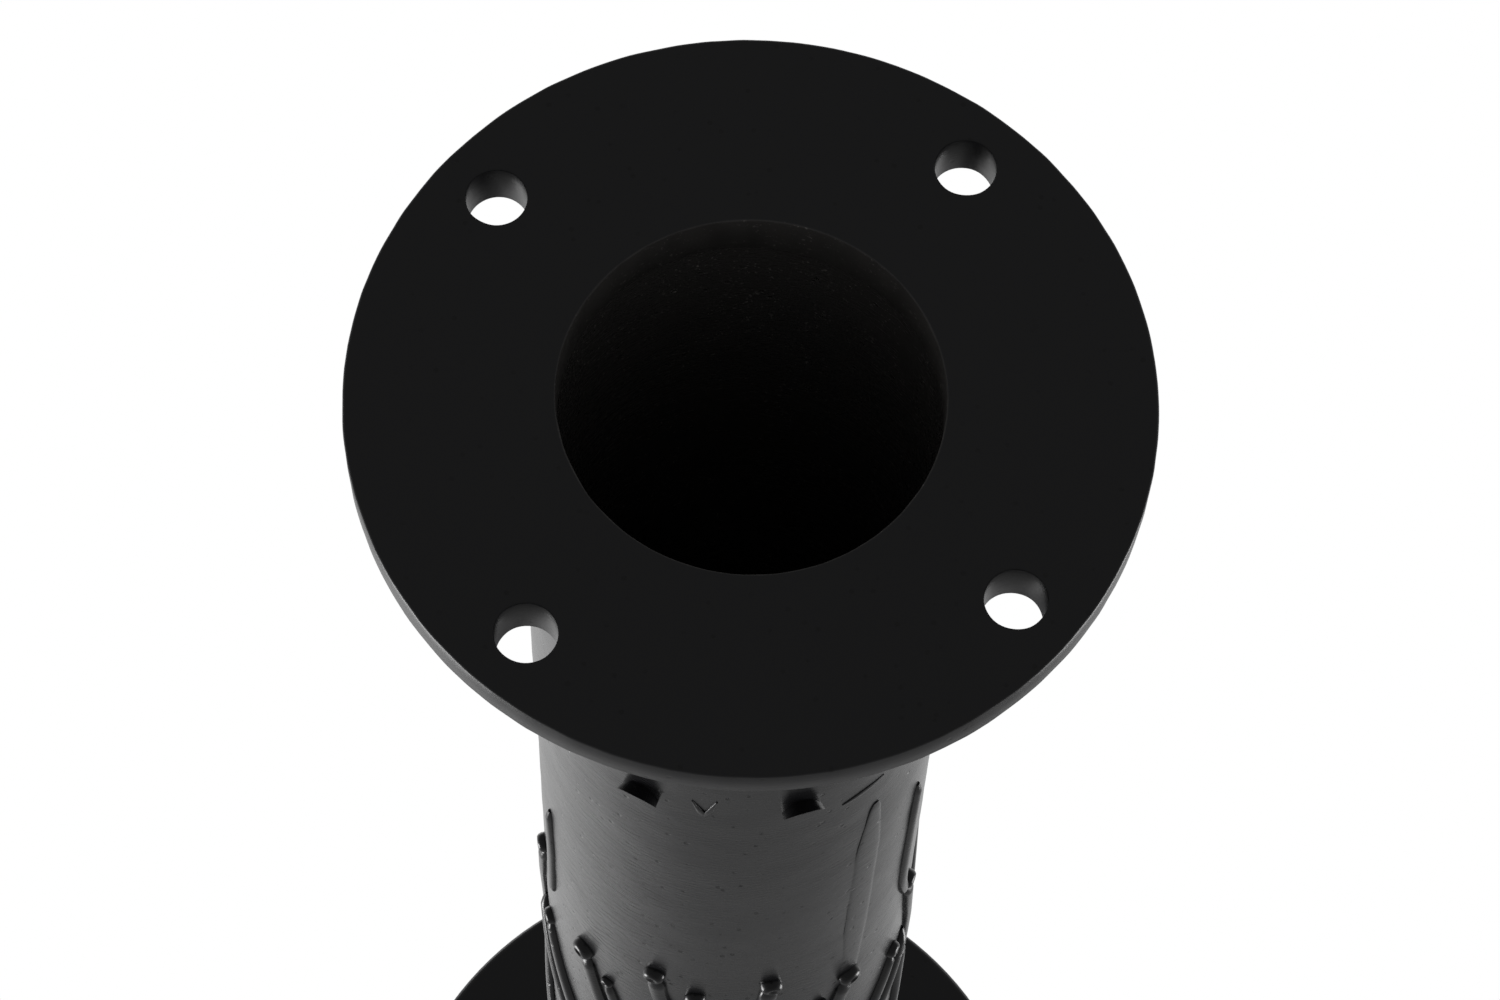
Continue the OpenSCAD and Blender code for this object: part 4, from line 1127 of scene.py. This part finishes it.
def buildHandCaps(s):
    # the turned nut that holds each pair of hands
    r, low, high = s["radius"], s["low"], s["high"]
    profile = [(0, low), (r * 0.94, low), (r, low + 0.6 * mm), (r, low + 1.8 * mm), (r * 0.8, low + 2.4 * mm),
               (r * 0.72, low + 4.2 * mm), (r * 0.5, high - 0.6 * mm), (r * 0.25, high), (0, high)]
    for side in (-1, 1):
        shape = bmesh.new()
        latheInto(shape, profile, s["segments"], facing(side), loop=False)
        addPiece(sideName[side] + "HandCap", shape, gearBrass, sideName[side] + "_minute")


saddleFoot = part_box("saddle")[0].z + 26 * mm
rosetteSize = {
    "x": 180.6 * mm, "z": saddleFoot + 75.9 * mm, "face": 15 * mm, "radius": 23 * mm, "segments": 40,
    "petals": 8, "petalCircle": 0.6, "petalLift": 1 * mm, "petal": (5.4 * mm, 4.6, 1.6, 2.6 * mm),
}


def buildRosettes(s):
    # a flower on each face of the scrolls' eyes
    r, face = s["radius"], s["face"]
    profile = [(0, face - 0.5 * mm), (r, face - 0.5 * mm), (r, face + 1.6 * mm), (r * 0.9, face + 2.2 * mm),
               (r * 0.82, face + 1 * mm), (r * 0.4, face + 1.2 * mm), (r * 0.34, face + 4.6 * mm),
               (r * 0.18, face + 6.2 * mm), (0, face + 6.6 * mm)]
    length, width, swell, height = s["petal"]
    for side in (-1, 1):
        for hand, x in (("Left", -s["x"]), ("Right", s["x"])):
            def place(radius, depth, a):
                return x + radius * math.cos(a), side * depth, s["z"] + radius * math.sin(a)
            shape = bmesh.new()
            latheInto(shape, profile, s["segments"], place, loop=False)
            addPiece(sideName[side] + hand + "Rosette", shape)
            petal = bmesh.new()
            bmesh.ops.create_uvsphere(petal, u_segments=14, v_segments=8, radius=1)
            for v in petal.verts:
                v.co = Vector((v.co.x * length, v.co.y * (width + swell * v.co.x) * mm, v.co.z * height))
            centre = (x, side * (face + s["petalLift"]), s["z"])
            petals = ringOf(petal, s["petals"], r * s["petalCircle"], caseEnamel,
                            Tilt=(-side * math.pi / 2, 0, 0), Centre=centre)
            addPiece(sideName[side] + hand + "Petals", petals)


saddleMould = {
    "halfX": 115 * mm, "halfY": 66 * mm, "foot": saddleFoot + 14 * mm, "steps": 8, "back": 0.0003,
    "beads": [{"up": 1 * mm, "rise": 9 * mm, "out": 5 * mm},
              {"up": 14 * mm, "rise": 4 * mm, "out": 2.4 * mm}],
}


def buildSaddleMoulding(s):
    # half-round mouldings round the rectangular block
    shape, count = bmesh.new(), s["steps"] + 1
    for bead in s["beads"]:
        rings = []
        for cx, cy in ((1, 1), (-1, 1), (-1, -1), (1, -1)):
            ring = []
            for k in range(count):
                a = math.pi * k / s["steps"]
                push = abs(bead["out"] * math.sin(a) - s["back"])
                height = s["foot"] + bead["up"] + bead["rise"] * (1 - math.cos(a)) / 2
                ring.append(shape.verts.new(((s["halfX"] + push) * cx, (s["halfY"] + push) * cy, height)))
            rings.append(ring)
        for here, there in zip(rings, rings[1:] + rings[:1]):
            for k in range(count):
                j = (k + 1) % count
                shape.faces.new((here[k], there[k], there[j], here[j]))
    addPiece("saddleMoulding", shape, sharp=50)


finialSize = {
    "ball": top("finial") - 130 * mm, "radius": 32 * mm, "sink": 0.4 * mm, "ribs": 16,
    "rib": 3.4 * mm, "ribRise": 0.62, "slant": 66, "rows": 16, "columns": 7,
}


def buildFinialRibs(s):
    # gadroons round the ball
    shape, rings = bmesh.new(), []
    for i in range(s["rows"] + 1):
        rise = math.radians(-s["slant"] + 2 * s["slant"] * i / s["rows"])
        swell = s["rib"] * math.cos(rise) ** 0.5
        ring = []
        for k in range(s["columns"] + 1):
            a = math.pi * (k / s["columns"] - 0.5)
            reach = s["radius"] - s["sink"] + swell * s["ribRise"] * math.cos(a)
            spot = (reach * math.cos(rise), swell * math.sin(a), reach * math.sin(rise))
            ring.append(shape.verts.new(spot))
        rings.append(ring)
    skin(shape, rings)
    shape.faces.new(rings[0])
    shape.faces.new(rings[-1][::-1])
    ribs = ringOf(shape, s["ribs"], 0.0, caseEnamel, Centre=(0, 0, s["ball"]))
    addPiece("finialGadroons", ribs, sharp=60)


buildHandCaps(capSize)
buildSaddleMoulding(saddleMould)
buildRosettes(rosetteSize)
buildFinialRibs(finialSize)
# the width, in millimetres, of the rounding on each part's edges
softNodes = {
    "collar_plate": 1.2, "column_foot": 1.0, "saddle": 1.4, "left_scroll": 1.8, "right_scroll": 1.8,
    "finial_base": 1.0, "capital": 0.8, "front_bezel": 1.2, "rear_bezel": 1.2,
    "front_minute_hand": 0.5, "front_hour_hand": 0.5, "rear_minute_hand": 0.5, "rear_hour_hand": 0.5,
    "front_latch": 0.7, "rear_latch": 0.7, "fluted_column": 0.7,
}


def bodyOf(name):
    bodies = frame["record"]["behaviour"]["bodies"]
    return next(body for body, names in bodies.items() if name in names)


def softenNode(name, width, angle=32):
    # a copy of a turned or cast part with its edges rounded, in the part's own place
    shape = bmesh.new()
    shape.from_mesh(nodes[name].data)
    bmesh.ops.remove_doubles(shape, verts=shape.verts, dist=2e-6)
    bmesh.ops.dissolve_limit(shape, angle_limit=math.radians(0.4), verts=shape.verts, edges=shape.edges)
    finish = nodes[name].data.materials[0]
    first, *others = name.split("_")
    title = first + "".join(word.title() for word in others) + "Soft"
    piece = addPiece(title, shape, finish, bodyOf(name), [name], angle, False)
    soften = piece.modifiers.new("softEdges", "BEVEL")
    soften.width = width
    soften.segments = 2
    soften.limit_method = "ANGLE"
    soften.angle_limit = math.radians(angle)
    soften.harden_normals = False


for name, width in softNodes.items():
    softenNode(name, width * mm)
print("trim built")
